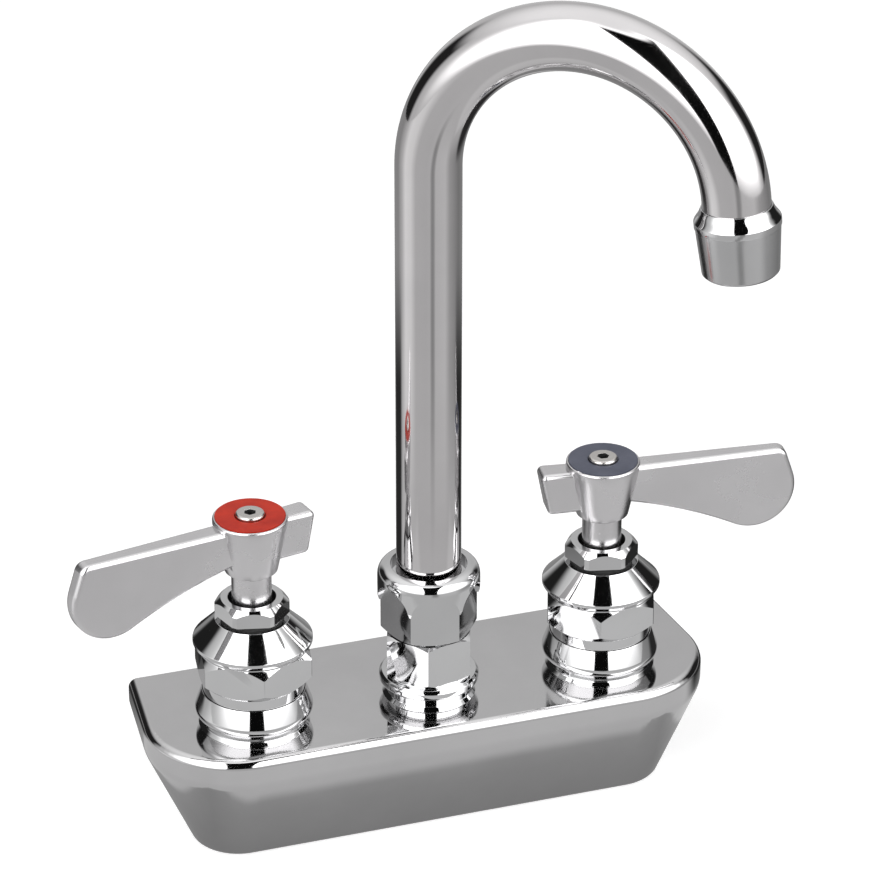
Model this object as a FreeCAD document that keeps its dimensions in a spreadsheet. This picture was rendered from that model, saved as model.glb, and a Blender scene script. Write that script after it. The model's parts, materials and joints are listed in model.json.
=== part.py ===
import FreeCAD, Part

import math
import os

import Sketcher
from FreeCAD import Placement, Rotation, Vector

# Wall-mounted two-handle gooseneck faucet, in millimetres.
# The origin lies on the wall face, midway between the two supply inlets. +X runs along the wall to the
# right, -Y comes out of the wall towards the user and +Z is up.

SIZES = {
    # Body casting: a flat deck with a D-shaped plan over a hull that narrows downwards
    "deck_height": 20.5,
    "keel_depth": 16.1,
    "lip_height": 7.8,
    "front_overhang": 22.3,
    "end_overhang": 30.4,
    "end_lean": 2.8,
    "front_corner_radius": 25.8,
    "keel_front_setback": 10.7,
    "keel_end_setback": 12.8,
    "keel_corner_radius": 13.0,
    "deck_round": 2.5,
    "lip_round": 8.0,
    "keel_round": 2.5,
    # Stations: the two valves stand on 4 inch centres, with the spout midway between them
    "valve_spacing": 101.6,
    "axis_reach": 31.4,
    # Waterways in the casting, the rear inlets tapped for half-inch pipe
    "inlet_radius": 9.13,
    "inlet_depth": 20.0,
    "inlet_chamfer": 1.2,
    "passage_radius": 6.0,
    "seat_hole_radius": 5.0,
    "chamber_radius": 9.6,
    "chamber_depth": 12.0,
    "gallery_radius": 3.8,
    "gallery_depth": 8.5,
    # Valve towers on the deck
    "tower_radius": 14.4,
    "tower_height": 10.7,
    "tower_crest_height": 4.2,
    "tower_crest_width": 1.2,
    "tower_crest_radius": 16.3,
    "tower_crest_round": 2.5,
    "foot_round": 1.0,
    # Spout post on the deck
    "post_radius": 12.0,
    "post_height": 3.6,
    # Clearances: between mating threads, between a seated piece and its bore, and round a turning piece
    "thread_gap": 0.08,
    "seat_gap": 0.3,
    "running_gap": 0.1,
    "seal_gap": 0.04,
    # Bonnet, a hexagon collar with a conical top that screws into its tower
    "bonnet_thread_radius": 11.6,
    "bonnet_thread_length": 8.4,
    "bonnet_foot_radius": 14.1,
    "bonnet_foot_height": 3.1,
    "bonnet_radius": 17.0,
    "bonnet_flare_height": 2.7,
    "bonnet_band_height": 5.1,
    "bonnet_waist_height": 2.1,
    "bonnet_waist_radius": 14.9,
    "bonnet_shoulder_height": 1.9,
    "bonnet_shoulder_radius": 16.5,
    "bonnet_shoulder_land": 0.9,
    "bonnet_cone_height": 6.2,
    "bonnet_top_radius": 10.3,
    "bonnet_flats": 29.6,
    "bonnet_seal_thickness": 1.2,
    "hot_bonnet_angle": 24.0,
    "cold_bonnet_angle": 10.0,
    # Packing nut and the packing ring under it
    "gland_thread_radius": 8.0,
    "gland_thread_length": 6.0,
    "gland_neck_height": 1.2,
    "gland_neck_radius": 8.7,
    "gland_height": 5.0,
    "gland_flats": 18.4,
    "gland_radius": 10.25,
    "gland_chamfer": 1.7,
    "gland_mouth_radius": 6.6,
    "gland_mouth_depth": 3.0,
    "packing_thickness": 3.2,
    "gland_angle": -14.0,
    # Ceramic cartridge
    "shell_radius": 9.3,
    "shell_wall": 1.2,
    "shell_skirt": 1.8,
    "disc_thickness": 2.6,
    "disc_gap": 0.1,
    "disc_port_radius": 2.1,
    "disc_port_reach": 4.0,
    "seal_thickness": 2.2,
    "seal_inner_radius": 5.4,
    "window_width": 9.0,
    "window_height": 4.0,
    # Stem: a drive plate on the upper disc, a bearing, a shaft and a splined end
    "drive_height": 2.4,
    "bearing_radius": 6.1,
    "shaft_radius": 4.3,
    "spline_radius": 3.9,
    "spline_length": 12.5,
    "spline_depth": 0.5,
    "spline_teeth": 10,
    "ring_section": 0.9,
    "stem_ring_drop": 8.0,
    # Lever handle
    "neck_radius": 5.5,
    "neck_entry": 2.0,
    "neck_length": 9.6,
    "hub_foot_radius": 7.3,
    "hub_foot_height": 1.2,
    "hub_radius": 10.3,
    "hub_height": 15.8,
    "hub_rim_height": 1.4,
    "hub_round": 0.6,
    "socket_depth": 21.0,
    "blade_length": 54.7,
    "blade_top_drop": 1.6,
    "blade_rise": 1.2,
    "blade_root_height": 10.5,
    "blade_belly_radius": 130.0,
    "blade_lobe_radius": 12.0,
    "blade_lobe_drop": 10.6,
    "blade_end_slant": 3.3,
    "blade_root_thickness": 7.2,
    "blade_end_thickness": 5.0,
    "blade_nose_radius": 3.0,
    "blade_round": 1.4,
    "tail_length": 18.4,
    "tail_height": 12.4,
    "tail_slant": 2.4,
    "tail_round": 1.6,
    "hot_lever_angle": 12.0,
    "cold_lever_angle": 7.5,
    # Index ring and handle screw
    "index_radius": 9.6,
    "index_thickness": 1.2,
    "index_hole_radius": 4.3,
    "index_rise": 0.3,
    "screw_head_radius": 4.0,
    "screw_head_height": 2.2,
    "screw_head_round": 0.7,
    "screw_shank_radius": 2.0,
    "screw_shank_length": 15.0,
    "screw_socket_flats": 3.0,
    "screw_socket_depth": 1.9,
    # Spout adapter, screwed into the post
    "adapter_thread_radius": 9.0,
    "adapter_thread_length": 6.6,
    "adapter_flange_radius": 13.9,
    "adapter_flange_height": 3.2,
    "adapter_hex_height": 13.1,
    "adapter_flats": 23.0,
    "adapter_chamfer": 1.6,
    "adapter_top_radius": 10.3,
    "adapter_top_length": 11.0,
    "adapter_socket_depth": 16.5,
    "adapter_angle": 11.0,
    "waterway_radius": 6.0,
    "gasket_thickness": 1.0,
    # Swivel nut
    "nut_skirt_gap": 0.4,
    "nut_hex_height": 9.6,
    "nut_flats": 23.4,
    "nut_chamfer": 2.2,
    "nut_collar_radius": 14.25,
    "nut_collar_height": 10.4,
    "nut_collar_round": 3.5,
    "nut_swell": 1.2,
    "nut_lip_thickness": 2.2,
    "nut_mouth_radius": 10.6,
    "nut_angle": -10.0,
    # Swivel sleeve and its seals
    "sleeve_radius": 8.2,
    "sleeve_bore_radius": 5.6,
    "sleeve_length": 15.5,
    "sleeve_flange_height": 3.0,
    "sleeve_tenon_length": 6.0,
    "lower_washer_thickness": 1.0,
    "upper_washer_thickness": 1.2,
    "spout_ring_spacing": 5.4,
    # Gooseneck tube, bent in one round arch that stops short of a half turn
    "tube_radius": 9.0,
    "tube_wall": 1.0,
    "arch_height": 160.0,
    "bend_radius": 42.5,
    "bend_angle": 174.5,
    "outlet_tail": 5.0,
    "spout_angle": 40.0,
    # Outlet ferrule and aerator
    "ferrule_lap": 3.6,
    "ferrule_edge": 0.3,
    "ferrule_waist": 0.8,
    "ferrule_radius": 11.4,
    "ferrule_band": 1.8,
    "ferrule_thread_radius": 10.0,
    "ferrule_thread_length": 6.0,
    "ferrule_bore_radius": 7.6,
    "housing_length": 13.4,
    "housing_inset": 0.2,
    "housing_end_radius": 10.2,
    "housing_lip": 1.2,
    "housing_chamfer": 0.7,
    "aerator_washer_thickness": 1.8,
    "screen_thickness": 0.5,
    "screen_eye_radius": 0.7,
    "insert_radius": 8.8,
    "jet_radius": 1.0,
    "inner_jets": 6,
    "outer_jets": 12,
    "inner_jet_reach": 3.4,
    "outer_jet_reach": 6.5,
}

WALL_CLEAR = 1.0  # how far a cutting profile runs past the face that it opens
COS_30 = math.cos(math.radians(30))

doc = FreeCAD.newDocument("gooseneck_faucet")
sheet = doc.addObject("Spreadsheet::Sheet", "Sizes")
for row, (name, value) in enumerate(SIZES.items(), start=1):
    sheet.set("A%d" % row, str(value))
    sheet.setAlias("A%d" % row, name)
doc.recompute()


class Size:
    """A length with its value in millimetres and the expression on the sheet that gives it."""

    def __init__(self, value, text):
        self.value = value
        self.text = text

    def joined(self, sign, other, swap=False):
        if not isinstance(other, Size):
            other = Size(float(other), "(%.9g)" % other)
        a, b = (other, self) if swap else (self, other)
        values = {"+": a.value + b.value, "-": a.value - b.value, "*": a.value * b.value}
        value = a.value / b.value if sign == "/" else values[sign]
        return Size(value, "(%s %s %s)" % (a.text, sign, b.text))

    def __add__(self, other):
        return self.joined("+", other)

    def __sub__(self, other):
        return self.joined("-", other)

    def __rsub__(self, other):
        return self.joined("-", other, swap=True)

    def __mul__(self, other):
        return self.joined("*", other)

    def __rmul__(self, other):
        return self.joined("*", other, swap=True)

    def __truediv__(self, other):
        return self.joined("/", other)

    def __neg__(self):
        return self.joined("*", -1.0)


def size(name):
    return Size(float(sheet.get(name)), "Sizes." + name)


def trig(function, name):
    """The sine or cosine of an angle on the sheet, which holds it in degrees."""
    angle = math.radians(size(name).value)
    value = math.sin(angle) if function == "sin" else math.cos(angle)
    return Size(value, "%s(Sizes.%s * 1 deg)" % (function, name))


def as_size(value):
    return value if isinstance(value, Size) else Size(float(value), "%.9g" % value)


def bind(thing, prop, value):
    """Ties a property to the sheet."""
    thing.setExpression(prop, as_size(value).text)


# Ways of drawing and cutting, shared by all the pieces

finished = []


def new_body(label):
    body = doc.addObject("PartDesign::Body", label)
    finished.append(body)
    return body


def place(piece, x, y, z, turn=0.0):
    """Stands a piece at a station, turned by an angle about the vertical or by a whole rotation."""
    where = [as_size(v) for v in (x, y, z)]
    if not isinstance(turn, Rotation):
        turn = Rotation(Vector(0, 0, 1), turn)
    piece.Placement = Placement(Vector(*[v.value for v in where]), turn)
    for axis, v in zip("xyz", where):
        bind(piece, "Placement.Base." + axis, v)


def new_sketch(body, name, plane, x=0.0, y=0.0, lift=0.0):
    """A sketch on one of the body's own planes, shifted in the plane and lifted along its normal."""
    sketch = body.newObject("Sketcher::SketchObject", name)
    sketch.AttachmentSupport = [(origin_part(body, plane), "")]
    sketch.MapMode = "FlatFace"
    shift = [as_size(v) for v in (x, y, lift)]
    sketch.AttachmentOffset = Placement(Vector(*[v.value for v in shift]), Rotation())
    for axis, v in zip("xyz", shift):
        bind(sketch, "AttachmentOffset.Base." + axis, v)
    return sketch


def pin(sketch, geometry, end, x, y):
    """Holds one end of a line, or a centre, at a place given by sizes."""
    for kind, v in (("DistanceX", as_size(x)), ("DistanceY", as_size(y))):
        number = sketch.addConstraint(Sketcher.Constraint(kind, -1, 1, geometry, end, v.value))
        bind(sketch, "Constraints[%d]" % number, v)


def draw_outline(sketch, corners):
    """A closed outline of straight lines through corners given as (across, up)."""
    first = sketch.GeometryCount
    spots = [Vector(as_size(x).value, as_size(y).value, 0) for x, y in corners]
    for here, there in zip(spots, spots[1:] + spots[:1]):
        sketch.addGeometry(Part.LineSegment(here, there), False)
    for i, (x, y) in enumerate(corners):
        following = first + (i + 1) % len(corners)
        sketch.addConstraint(Sketcher.Constraint("Coincident", first + i, 2, following, 1))
        pin(sketch, first + i, 1, x, y)


def draw_circle(sketch, x, y, radius):
    x, y, radius = as_size(x), as_size(y), as_size(radius)
    circle = Part.Circle(Vector(x.value, y.value, 0), Vector(0, 0, 1), radius.value)
    number = sketch.addGeometry(circle, False)
    pin(sketch, number, 3, x, y)
    limit = sketch.addConstraint(Sketcher.Constraint("Radius", number, radius.value))
    bind(sketch, "Constraints[%d]" % limit, radius)


def touching_centre(point, centre, radius, other_radius):
    """The centre of a circle below that passes through a point and touches another circle from outside."""
    away = centre - point
    side_a, side_b = radius, radius + other_radius
    along = (side_a ** 2 - side_b ** 2 + away.Length ** 2) / (2 * away.Length)
    unit = away / away.Length
    return point + unit * along + Vector(unit.y, -unit.x, 0) * math.sqrt(side_a ** 2 - along ** 2)


def tangent_angle(point, centre, radius, turn):
    """The angle on a circle where a straight line from an outside point touches it."""
    away = point - centre
    return math.atan2(away.y, away.x) + turn * math.acos(radius / away.Length)


def hexagon(flats):
    """The corners of a hexagon with one flat square to the front."""
    corner = as_size(flats) / (2 * COS_30)
    angles = [math.radians(60 * k) for k in range(6)]
    return [(corner * math.cos(a), corner * math.sin(a)) for a in angles]


def spin(body, name, corners, cut=False, **where):
    """A profile of (radius, height) corners turned round the vertical through the sketch's origin."""
    sketch = new_sketch(body, name + "_profile", "XZ_Plane", **where)
    draw_outline(sketch, corners)
    kind = "PartDesign::Groove" if cut else "PartDesign::Revolution"
    feature = body.newObject(kind, name)
    feature.Profile = sketch
    feature.ReferenceAxis = (sketch, ["V_Axis"])
    feature.Angle = 360
    settle(body, feature, cut)
    return feature


def push(body, name, sketch, length, cut=False, reverse=False, both_ways=False):
    """Pads a sketch along its normal, or pockets it against its normal."""
    feature = body.newObject("PartDesign::Pocket" if cut else "PartDesign::Pad", name)
    feature.Profile = sketch
    feature.Type = 0
    bind(feature, "Length", length)
    feature.Reversed = reverse
    if both_ways:
        feature.SideType = "Symmetric"
    settle(body, feature, cut)
    return feature


def settle(body, feature, cut):
    """Recomputes, and stops if a cut took nothing away."""
    before = feature.BaseFeature.Shape.Volume if feature.BaseFeature else 0.0
    doc.recompute()
    if cut and not feature.Shape.Volume < before - 1e-6:
        raise RuntimeError("%s cuts nothing from %s" % (feature.Name, body.Label))


def origin_part(body, role):
    return next(f for f in body.Origin.OriginFeatures if f.Role == role)


def repeat_round(body, name, feature, count):
    """Repeats a feature evenly round the vertical axis of its body."""
    pattern = body.newObject("PartDesign::PolarPattern", name)
    pattern.Originals = [feature]
    pattern.Axis = (origin_part(body, "Z_Axis"), [""])
    pattern.Angle = 360
    bind(pattern, "Occurrences", count)
    body.Tip = pattern
    doc.recompute()


def bore(body, name, radius, low, high, **where):
    """A round hole up the vertical axis of the station."""
    radius, low, high = as_size(radius), as_size(low), as_size(high)
    spin(body, name, [(0, low), (radius, low), (radius, high), (0, high)], cut=True, **where)


def cut_hexagon(body, name, flats, low, high, reach):
    """Takes away all that lies outside a hexagonal prism between two heights."""
    sketch = new_sketch(body, name + "_profile", "XY_Plane", lift=low)
    draw_circle(sketch, 0, 0, reach)
    draw_outline(sketch, hexagon(flats))
    push(body, name, sketch, high - low, cut=True, reverse=True)


def rings(feature, *where):
    """Names the circular edges of a feature at each (radius, height) about its own vertical axis."""
    found = []
    for radius, height in where:
        radius, height = as_size(radius).value, as_size(height).value
        for number, edge in enumerate(feature.Shape.Edges, start=1):
            curve = edge.Curve
            if not isinstance(curve, Part.Circle):
                continue
            on_axis = math.hypot(curve.Center.x, curve.Center.y) < 1e-4
            if on_axis and abs(curve.Radius - radius) < 1e-4 and abs(curve.Center.z - height) < 1e-4:
                found.append("Edge%d" % number)
    if not found:
        raise RuntimeError("no ring found on " + feature.Name)
    return found


def edges_where(feature, test):
    """Names the edges of a feature whose middle and length pass a test."""
    names = []
    for number, edge in enumerate(feature.Shape.Edges, start=1):
        middle = edge.valueAt(edge.getParameterByLength(edge.Length / 2))
        if test(edge, middle):
            names.append("Edge%d" % number)
    if not names:
        raise RuntimeError("no edge found on " + feature.Name)
    return names


def dress(body, kind, name, edges, amount):
    """Rounds or chamfers edges of the body's last feature."""
    feature = body.newObject("PartDesign::" + kind, name)
    feature.Base = (feature.BaseFeature, edges)
    bind(feature, "Radius" if kind == "Fillet" else "Size", amount)
    doc.recompute()
    return feature


def tube_ring(label, outer, inner, low, high):
    """A flat round ring, such as a washer or a seal, standing on the axis of its station."""
    outer, inner, low, high = as_size(outer), as_size(inner), as_size(low), as_size(high)
    body = new_body(label)
    spin(body, label + "_ring", [(inner, low), (outer, low), (outer, high), (inner, high)])
    return body


def o_ring(label, middle_radius, section):
    """A rubber ring of round section, lying flat on the axis of its station."""
    ring = doc.addObject("Part::Torus", label)
    bind(ring, "Radius1", middle_radius)
    bind(ring, "Radius2", section)
    finished.append(ring)
    return ring


# Driving sizes, by the names that the pieces below share

deck = size("deck_height")
station = size("valve_spacing") / 2
reach = size("axis_reach")
thread_gap = size("thread_gap")
seat_gap = size("seat_gap")
running_gap = size("running_gap")
seal_gap = size("seal_gap")

SIN_BEND, COS_BEND = trig("sin", "bend_angle"), trig("cos", "bend_angle")
SIN_SPOUT, COS_SPOUT = trig("sin", "spout_angle"), trig("cos", "spout_angle")

# Heights up a valve, from the deck
tower_top = size("tower_height")
thread_floor = tower_top - size("bonnet_thread_length") - size("bonnet_seal_thickness")
chamber_floor = -size("chamber_depth")
bonnet_flare = tower_top + size("bonnet_foot_height")
bonnet_band = bonnet_flare + size("bonnet_flare_height")
bonnet_band_top = bonnet_band + size("bonnet_band_height")
bonnet_waist = bonnet_band_top + size("bonnet_waist_height")
bonnet_shoulder = bonnet_waist + size("bonnet_shoulder_height")
bonnet_cone = bonnet_shoulder + size("bonnet_shoulder_land")
bonnet_top = bonnet_cone + size("bonnet_cone_height")
gland_foot = bonnet_top + size("gland_neck_height")
gland_top = gland_foot + size("gland_height")
gland_bottom = bonnet_top - size("gland_thread_length")
packing_foot = gland_bottom - size("packing_thickness")
fixed_disc_foot = chamber_floor + size("seal_thickness")
moving_disc_foot = fixed_disc_foot + size("disc_thickness")
drive_foot = moving_disc_foot + size("disc_thickness")
bearing_foot = drive_foot + size("drive_height")
shell_top = packing_foot
neck_foot = gland_top - size("neck_entry")
hub_foot = neck_foot + size("neck_length")
hub_cone = hub_foot + size("hub_foot_height")
hub_top = hub_foot + size("hub_height") + size("hub_rim_height")
socket_top = neck_foot + size("socket_depth")
index_foot = hub_top + size("index_rise") - size("index_thickness")

# Heights up the spout, from the deck
post_top = size("post_height")
adapter_hex = post_top + size("adapter_flange_height")
adapter_neck = adapter_hex + size("adapter_hex_height")
adapter_top = adapter_neck + size("adapter_top_length")
nut_foot = adapter_neck + size("nut_skirt_gap")
nut_spring = nut_foot + size("nut_hex_height")
nut_top = nut_spring + size("nut_collar_height")
sleeve_flange = adapter_top + size("lower_washer_thickness")
tube_foot = sleeve_flange + size("sleeve_flange_height")
nut_lip = tube_foot + size("upper_washer_thickness")
sleeve_foot = sleeve_flange - size("sleeve_length")


# Body casting

def draw_hull(sketch, back_half, end_half, depth, corner):
    """A D-shaped plan that runs past the wall: a straight front, and ends that lean out into round corners."""
    centre_x, centre_y = end_half - corner, -(depth - corner)
    r = corner.value
    centre = Vector(centre_x.value, centre_y.value, 0)
    heel = Vector(back_half.value, 0, 0)
    lean = tangent_angle(heel, centre, r, -1)
    touch = centre + Vector(math.cos(lean), math.sin(lean), 0) * r
    front = centre + Vector(0, -r, 0)

    def mirrored(p):
        return Vector(-p.x, p.y, 0)

    def arc(c, start, end):
        circle = Part.Circle(c, Vector(0, 0, 1), r)
        return Part.ArcOfCircle(circle, start, end)

    behind = heel + Vector(0, WALL_CLEAR, 0)
    sketch.addGeometry(Part.LineSegment(mirrored(behind), behind), False)
    sketch.addGeometry(Part.LineSegment(heel, touch), False)
    sketch.addGeometry(arc(centre, -math.pi / 2, lean), False)
    sketch.addGeometry(Part.LineSegment(front, mirrored(front)), False)
    sketch.addGeometry(arc(mirrored(centre), math.pi - lean, 1.5 * math.pi), False)
    sketch.addGeometry(Part.LineSegment(mirrored(touch), mirrored(heel)), False)
    sketch.addGeometry(Part.LineSegment(behind, heel), False)
    sketch.addGeometry(Part.LineSegment(mirrored(heel), mirrored(behind)), False)
    back, right_end, right_arc, front_line, left_arc, left_end, right_heel, left_heel = range(8)
    for a, a_end, b, b_end in ((back, 2, right_heel, 1), (right_heel, 2, right_end, 1),
                               (left_end, 2, left_heel, 1), (left_heel, 2, back, 1)):
        sketch.addConstraint(Sketcher.Constraint("Coincident", a, a_end, b, b_end))
    joins = ((right_end, 2, right_arc, 2), (right_arc, 1, front_line, 1),
             (front_line, 2, left_arc, 2), (left_arc, 1, left_end, 1))
    for a, a_end, b, b_end in joins:
        sketch.addConstraint(Sketcher.Constraint("Tangent", a, a_end, b, b_end))
    pin(sketch, back, 1, -back_half, WALL_CLEAR)
    pin(sketch, back, 2, back_half, WALL_CLEAR)
    pin(sketch, right_end, 1, back_half, 0)
    pin(sketch, left_end, 2, -back_half, 0)
    for number, x in ((right_arc, centre_x), (left_arc, -centre_x)):
        pin(sketch, number, 3, x, centre_y)
    for number in (right_arc, left_arc):
        limit = sketch.addConstraint(Sketcher.Constraint("Radius", number, r))
        bind(sketch, "Constraints[%d]" % limit, corner)


def make_body_casting():
    body = new_body("body_casting")
    keel_setback = size("keel_end_setback")
    levels = []
    for name, height, setback, inset, corner in (
        ("deck", deck, 0, 0, size("front_corner_radius")),
        ("lip", deck - size("lip_height"), 0, 0, size("front_corner_radius")),
        ("keel", -size("keel_depth"), keel_setback, size("keel_front_setback"), size("keel_corner_radius")),
    ):
        sketch = new_sketch(body, name + "_plan", "XY_Plane", lift=height)
        end_half = station + size("end_overhang") - setback
        draw_hull(sketch, end_half - size("end_lean"), end_half, reach + size("front_overhang") - inset, corner)
        levels.append(sketch)
    hull = body.newObject("PartDesign::AdditiveLoft", "hull")
    hull.Profile = levels[0]
    hull.Sections = levels[1:]
    hull.Ruled = True
    doc.recompute()

    # The hull is cut off flat where it meets the wall
    half, low, high = station + size("end_overhang"), -size("keel_depth") - WALL_CLEAR, deck + WALL_CLEAR
    sketch = new_sketch(body, "wall_outline", "XZ_Plane")
    draw_outline(sketch, [(-half, low), (half, low), (half, high), (-half, high)])
    push(body, "wall_cut", sketch, 2 * WALL_CLEAR, cut=True)

    for name, height, amount in (
        ("lip_crease", deck - size("lip_height"), size("lip_round")),
        ("keel_edge", -size("keel_depth"), size("keel_round")),
        ("deck_edge", deck, size("deck_round")),
    ):
        def in_level(edge, middle):
            flat = abs(edge.Vertexes[0].Z - edge.Vertexes[-1].Z) < 1e-3
            return flat and abs(middle.z - as_size(height).value) < 1e-3 and middle.y < -1e-3

        dress(body, "Fillet", name, edges_where(body.Tip, in_level), amount)

    # Valve towers, each swelling to a crest, and the plain post for the spout
    r, crest_radius, foot = size("tower_radius"), size("tower_crest_radius"), size("foot_round")
    crest, root = size("tower_crest_height"), -size("deck_round") / 2
    crest_top = crest + size("tower_crest_width")
    for side, sign in (("hot", -1), ("cold", 1)):
        corners = [(0, root), (r + foot, root), (r + foot, 0), (r, foot), (crest_radius, crest),
                   (crest_radius, crest_top), (r, tower_top), (0, tower_top)]
        spin(body, side + "_tower", corners, x=station * sign, y=deck, lift=reach)
    crests = edges_where(body.Tip, lambda edge, middle: isinstance(edge.Curve, Part.Circle)
                         and abs(edge.Curve.Radius - crest_radius.value) < 1e-4)
    dress(body, "Fillet", "tower_crests", crests, size("tower_crest_round"))
    r = size("post_radius")
    corners = [(0, root), (r + foot, root), (r + foot, 0), (r, foot), (r, post_top), (0, post_top)]
    spin(body, "spout_post", corners, y=deck, lift=reach)

    # Valve chambers with their seats, and the tapped rear inlets that feed them
    for side, sign in (("hot", -1), ("cold", 1)):
        where = dict(x=station * sign, y=deck, lift=reach)
        thread_radius = size("bonnet_thread_radius") + thread_gap
        chamber, seat = size("chamber_radius"), size("seat_hole_radius")
        above = tower_top + WALL_CLEAR
        corners = [(0, -deck), (seat, -deck), (seat, chamber_floor), (chamber, chamber_floor),
                   (chamber, thread_floor), (thread_radius, thread_floor), (thread_radius, above), (0, above)]
        spin(body, side + "_chamber", corners, cut=True, **where)
        for name, radius, length in (
            ("inlet", size("inlet_radius"), size("inlet_depth")),
            ("passage", size("passage_radius"), reach + size("passage_radius")),
        ):
            sketch = new_sketch(body, "%s_%s_circle" % (side, name), "XZ_Plane")
            draw_circle(sketch, station * sign, 0, radius)
            push(body, "%s_%s" % (side, name), sketch, length, cut=True, reverse=True)

    # Gallery that joins both chambers under the spout, and the spout's own socket
    sketch = new_sketch(body, "gallery_circle", "YZ_Plane")
    draw_circle(sketch, -reach, deck - size("gallery_depth"), size("gallery_radius"))
    push(body, "gallery", sketch, 2 * station - size("chamber_radius"), cut=True, both_ways=True)
    thread_radius = size("adapter_thread_radius") + thread_gap
    socket_floor = post_top - size("adapter_thread_length") - size("gasket_thickness")
    water, above = size("waterway_radius"), post_top + WALL_CLEAR
    corners = [(0, -size("gallery_depth")), (water, -size("gallery_depth")), (water, socket_floor),
               (thread_radius, socket_floor), (thread_radius, above), (0, above)]
    spin(body, "spout_socket", corners, cut=True, y=deck, lift=reach)
    inlet_mouths = edges_where(body.Tip, lambda edge, middle: isinstance(edge.Curve, Part.Circle)
                               and abs(edge.Curve.Center.y) < 1e-4
                               and abs(edge.Curve.Radius - size("inlet_radius").value) < 1e-4)
    dress(body, "Chamfer", "inlet_mouths", inlet_mouths, size("inlet_chamfer"))


# Valves, hot on the left and cold on the right

def make_bonnet(label):
    body = new_body(label)
    r, waist, shoulder = size("bonnet_radius"), size("bonnet_waist_radius"), size("bonnet_shoulder_radius")
    foot, thread = size("bonnet_foot_radius"), size("bonnet_thread_radius")
    spigot = tower_top - size("bonnet_thread_length")
    corners = [(0, spigot), (thread, spigot), (thread, tower_top), (foot, tower_top), (foot, bonnet_flare),
               (r, bonnet_band), (r, bonnet_band_top), (waist, bonnet_waist), (shoulder, bonnet_shoulder),
               (shoulder, bonnet_cone), (size("bonnet_top_radius"), bonnet_top), (0, bonnet_top)]
    spin(body, label + "_form", corners)
    cut_hexagon(body, label + "_flats", size("bonnet_flats"), tower_top, bonnet_waist, r + WALL_CLEAR)
    gland = size("gland_thread_radius") + thread_gap
    cartridge, above = size("shell_radius") + seat_gap, bonnet_top + WALL_CLEAR
    corners = [(0, spigot - WALL_CLEAR), (cartridge, spigot - WALL_CLEAR), (cartridge, shell_top),
               (gland, shell_top), (gland, above), (0, above)]
    spin(body, label + "_bore", corners, cut=True)
    return body


def make_packing_nut(label):
    body = new_body(label)
    r, bevel, thread = size("gland_radius"), size("gland_chamfer"), size("gland_thread_radius")
    neck, shaft = size("gland_neck_radius"), size("shaft_radius") + running_gap
    mouth, mouth_floor = size("gland_mouth_radius"), gland_top - size("gland_mouth_depth")
    corners = [(shaft, gland_bottom), (thread, gland_bottom), (thread, bonnet_top), (neck, bonnet_top),
               (neck, gland_foot), (r, gland_foot), (r, gland_top - bevel), (r - bevel, gland_top),
               (mouth, gland_top), (mouth, mouth_floor), (shaft, mouth_floor)]
    spin(body, label + "_form", corners)
    cut_hexagon(body, label + "_flats", size("gland_flats"), gland_foot, gland_top, r + WALL_CLEAR)
    return body


def make_cartridge_shell(label):
    body = new_body(label)
    r, wall = size("shell_radius"), size("shell_wall")
    inner, bearing = r - wall, size("bearing_radius") + running_gap
    foot = fixed_disc_foot - size("shell_skirt")
    ceiling = bearing_foot + seat_gap
    corners = [(inner, foot), (r, foot), (r, shell_top - seal_gap), (bearing, shell_top - seal_gap),
               (bearing, ceiling), (inner, ceiling)]
    spin(body, label + "_form", corners)
    sketch = new_sketch(body, label + "_window", "YZ_Plane")
    half, low = size("window_width") / 2, moving_disc_foot
    high = low + size("window_height")
    draw_outline(sketch, [(-half, low), (half, low), (half, high), (-half, high)])
    push(body, label + "_windows", sketch, 2 * r + WALL_CLEAR, cut=True, both_ways=True)
    return body


def make_disc(label, foot):
    """A ceramic disc with two round ports, opposite each other."""
    body = new_body(label)
    sketch = new_sketch(body, label + "_plan", "XY_Plane", lift=foot)
    draw_circle(sketch, 0, 0, size("shell_radius") - size("shell_wall") - running_gap)
    for sign in (-1, 1):
        draw_circle(sketch, size("disc_port_reach") * sign, 0, size("disc_port_radius"))
    push(body, label + "_plate", sketch, size("disc_thickness") - size("disc_gap"))
    return body


def make_stem(label):
    body = new_body(label)
    drive = size("shell_radius") - size("shell_wall") - running_gap
    bearing, shaft, spline = size("bearing_radius"), size("shaft_radius"), size("spline_radius")
    section = size("ring_section")
    groove, half = bearing + running_gap - 2 * section - 2 * seal_gap, section + seal_gap
    shaft_foot = shell_top - seat_gap
    groove_middle = shaft_foot - size("stem_ring_drop")
    spline_foot = socket_top - size("spline_length")
    corners = [(0, drive_foot), (drive, drive_foot), (drive, bearing_foot), (bearing, bearing_foot),
               (bearing, groove_middle - half), (groove, groove_middle - half), (groove, groove_middle + half),
               (bearing, groove_middle + half), (bearing, shaft_foot), (shaft, shaft_foot),
               (shaft, spline_foot), (spline, spline_foot), (spline, socket_top - seat_gap),
               (0, socket_top - seat_gap)]
    spin(body, label + "_form", corners)
    # One V-shaped groove of the spline, repeated round the end
    depth = size("spline_depth")
    sketch = new_sketch(body, label + "_tooth", "XY_Plane", lift=spline_foot)
    draw_outline(sketch, [(spline - depth, 0), (spline + depth, -depth * 2), (spline + depth, depth * 2)])
    tooth = push(body, label + "_groove", sketch, size("spline_length"), cut=True, reverse=True)
    repeat_round(body, label + "_spline", tooth, size("spline_teeth"))
    shank = size("screw_shank_radius") + thread_gap
    tapped = socket_top - size("screw_shank_length") - seat_gap
    bore(body, label + "_tapping", shank, tapped, socket_top)
    return body


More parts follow.
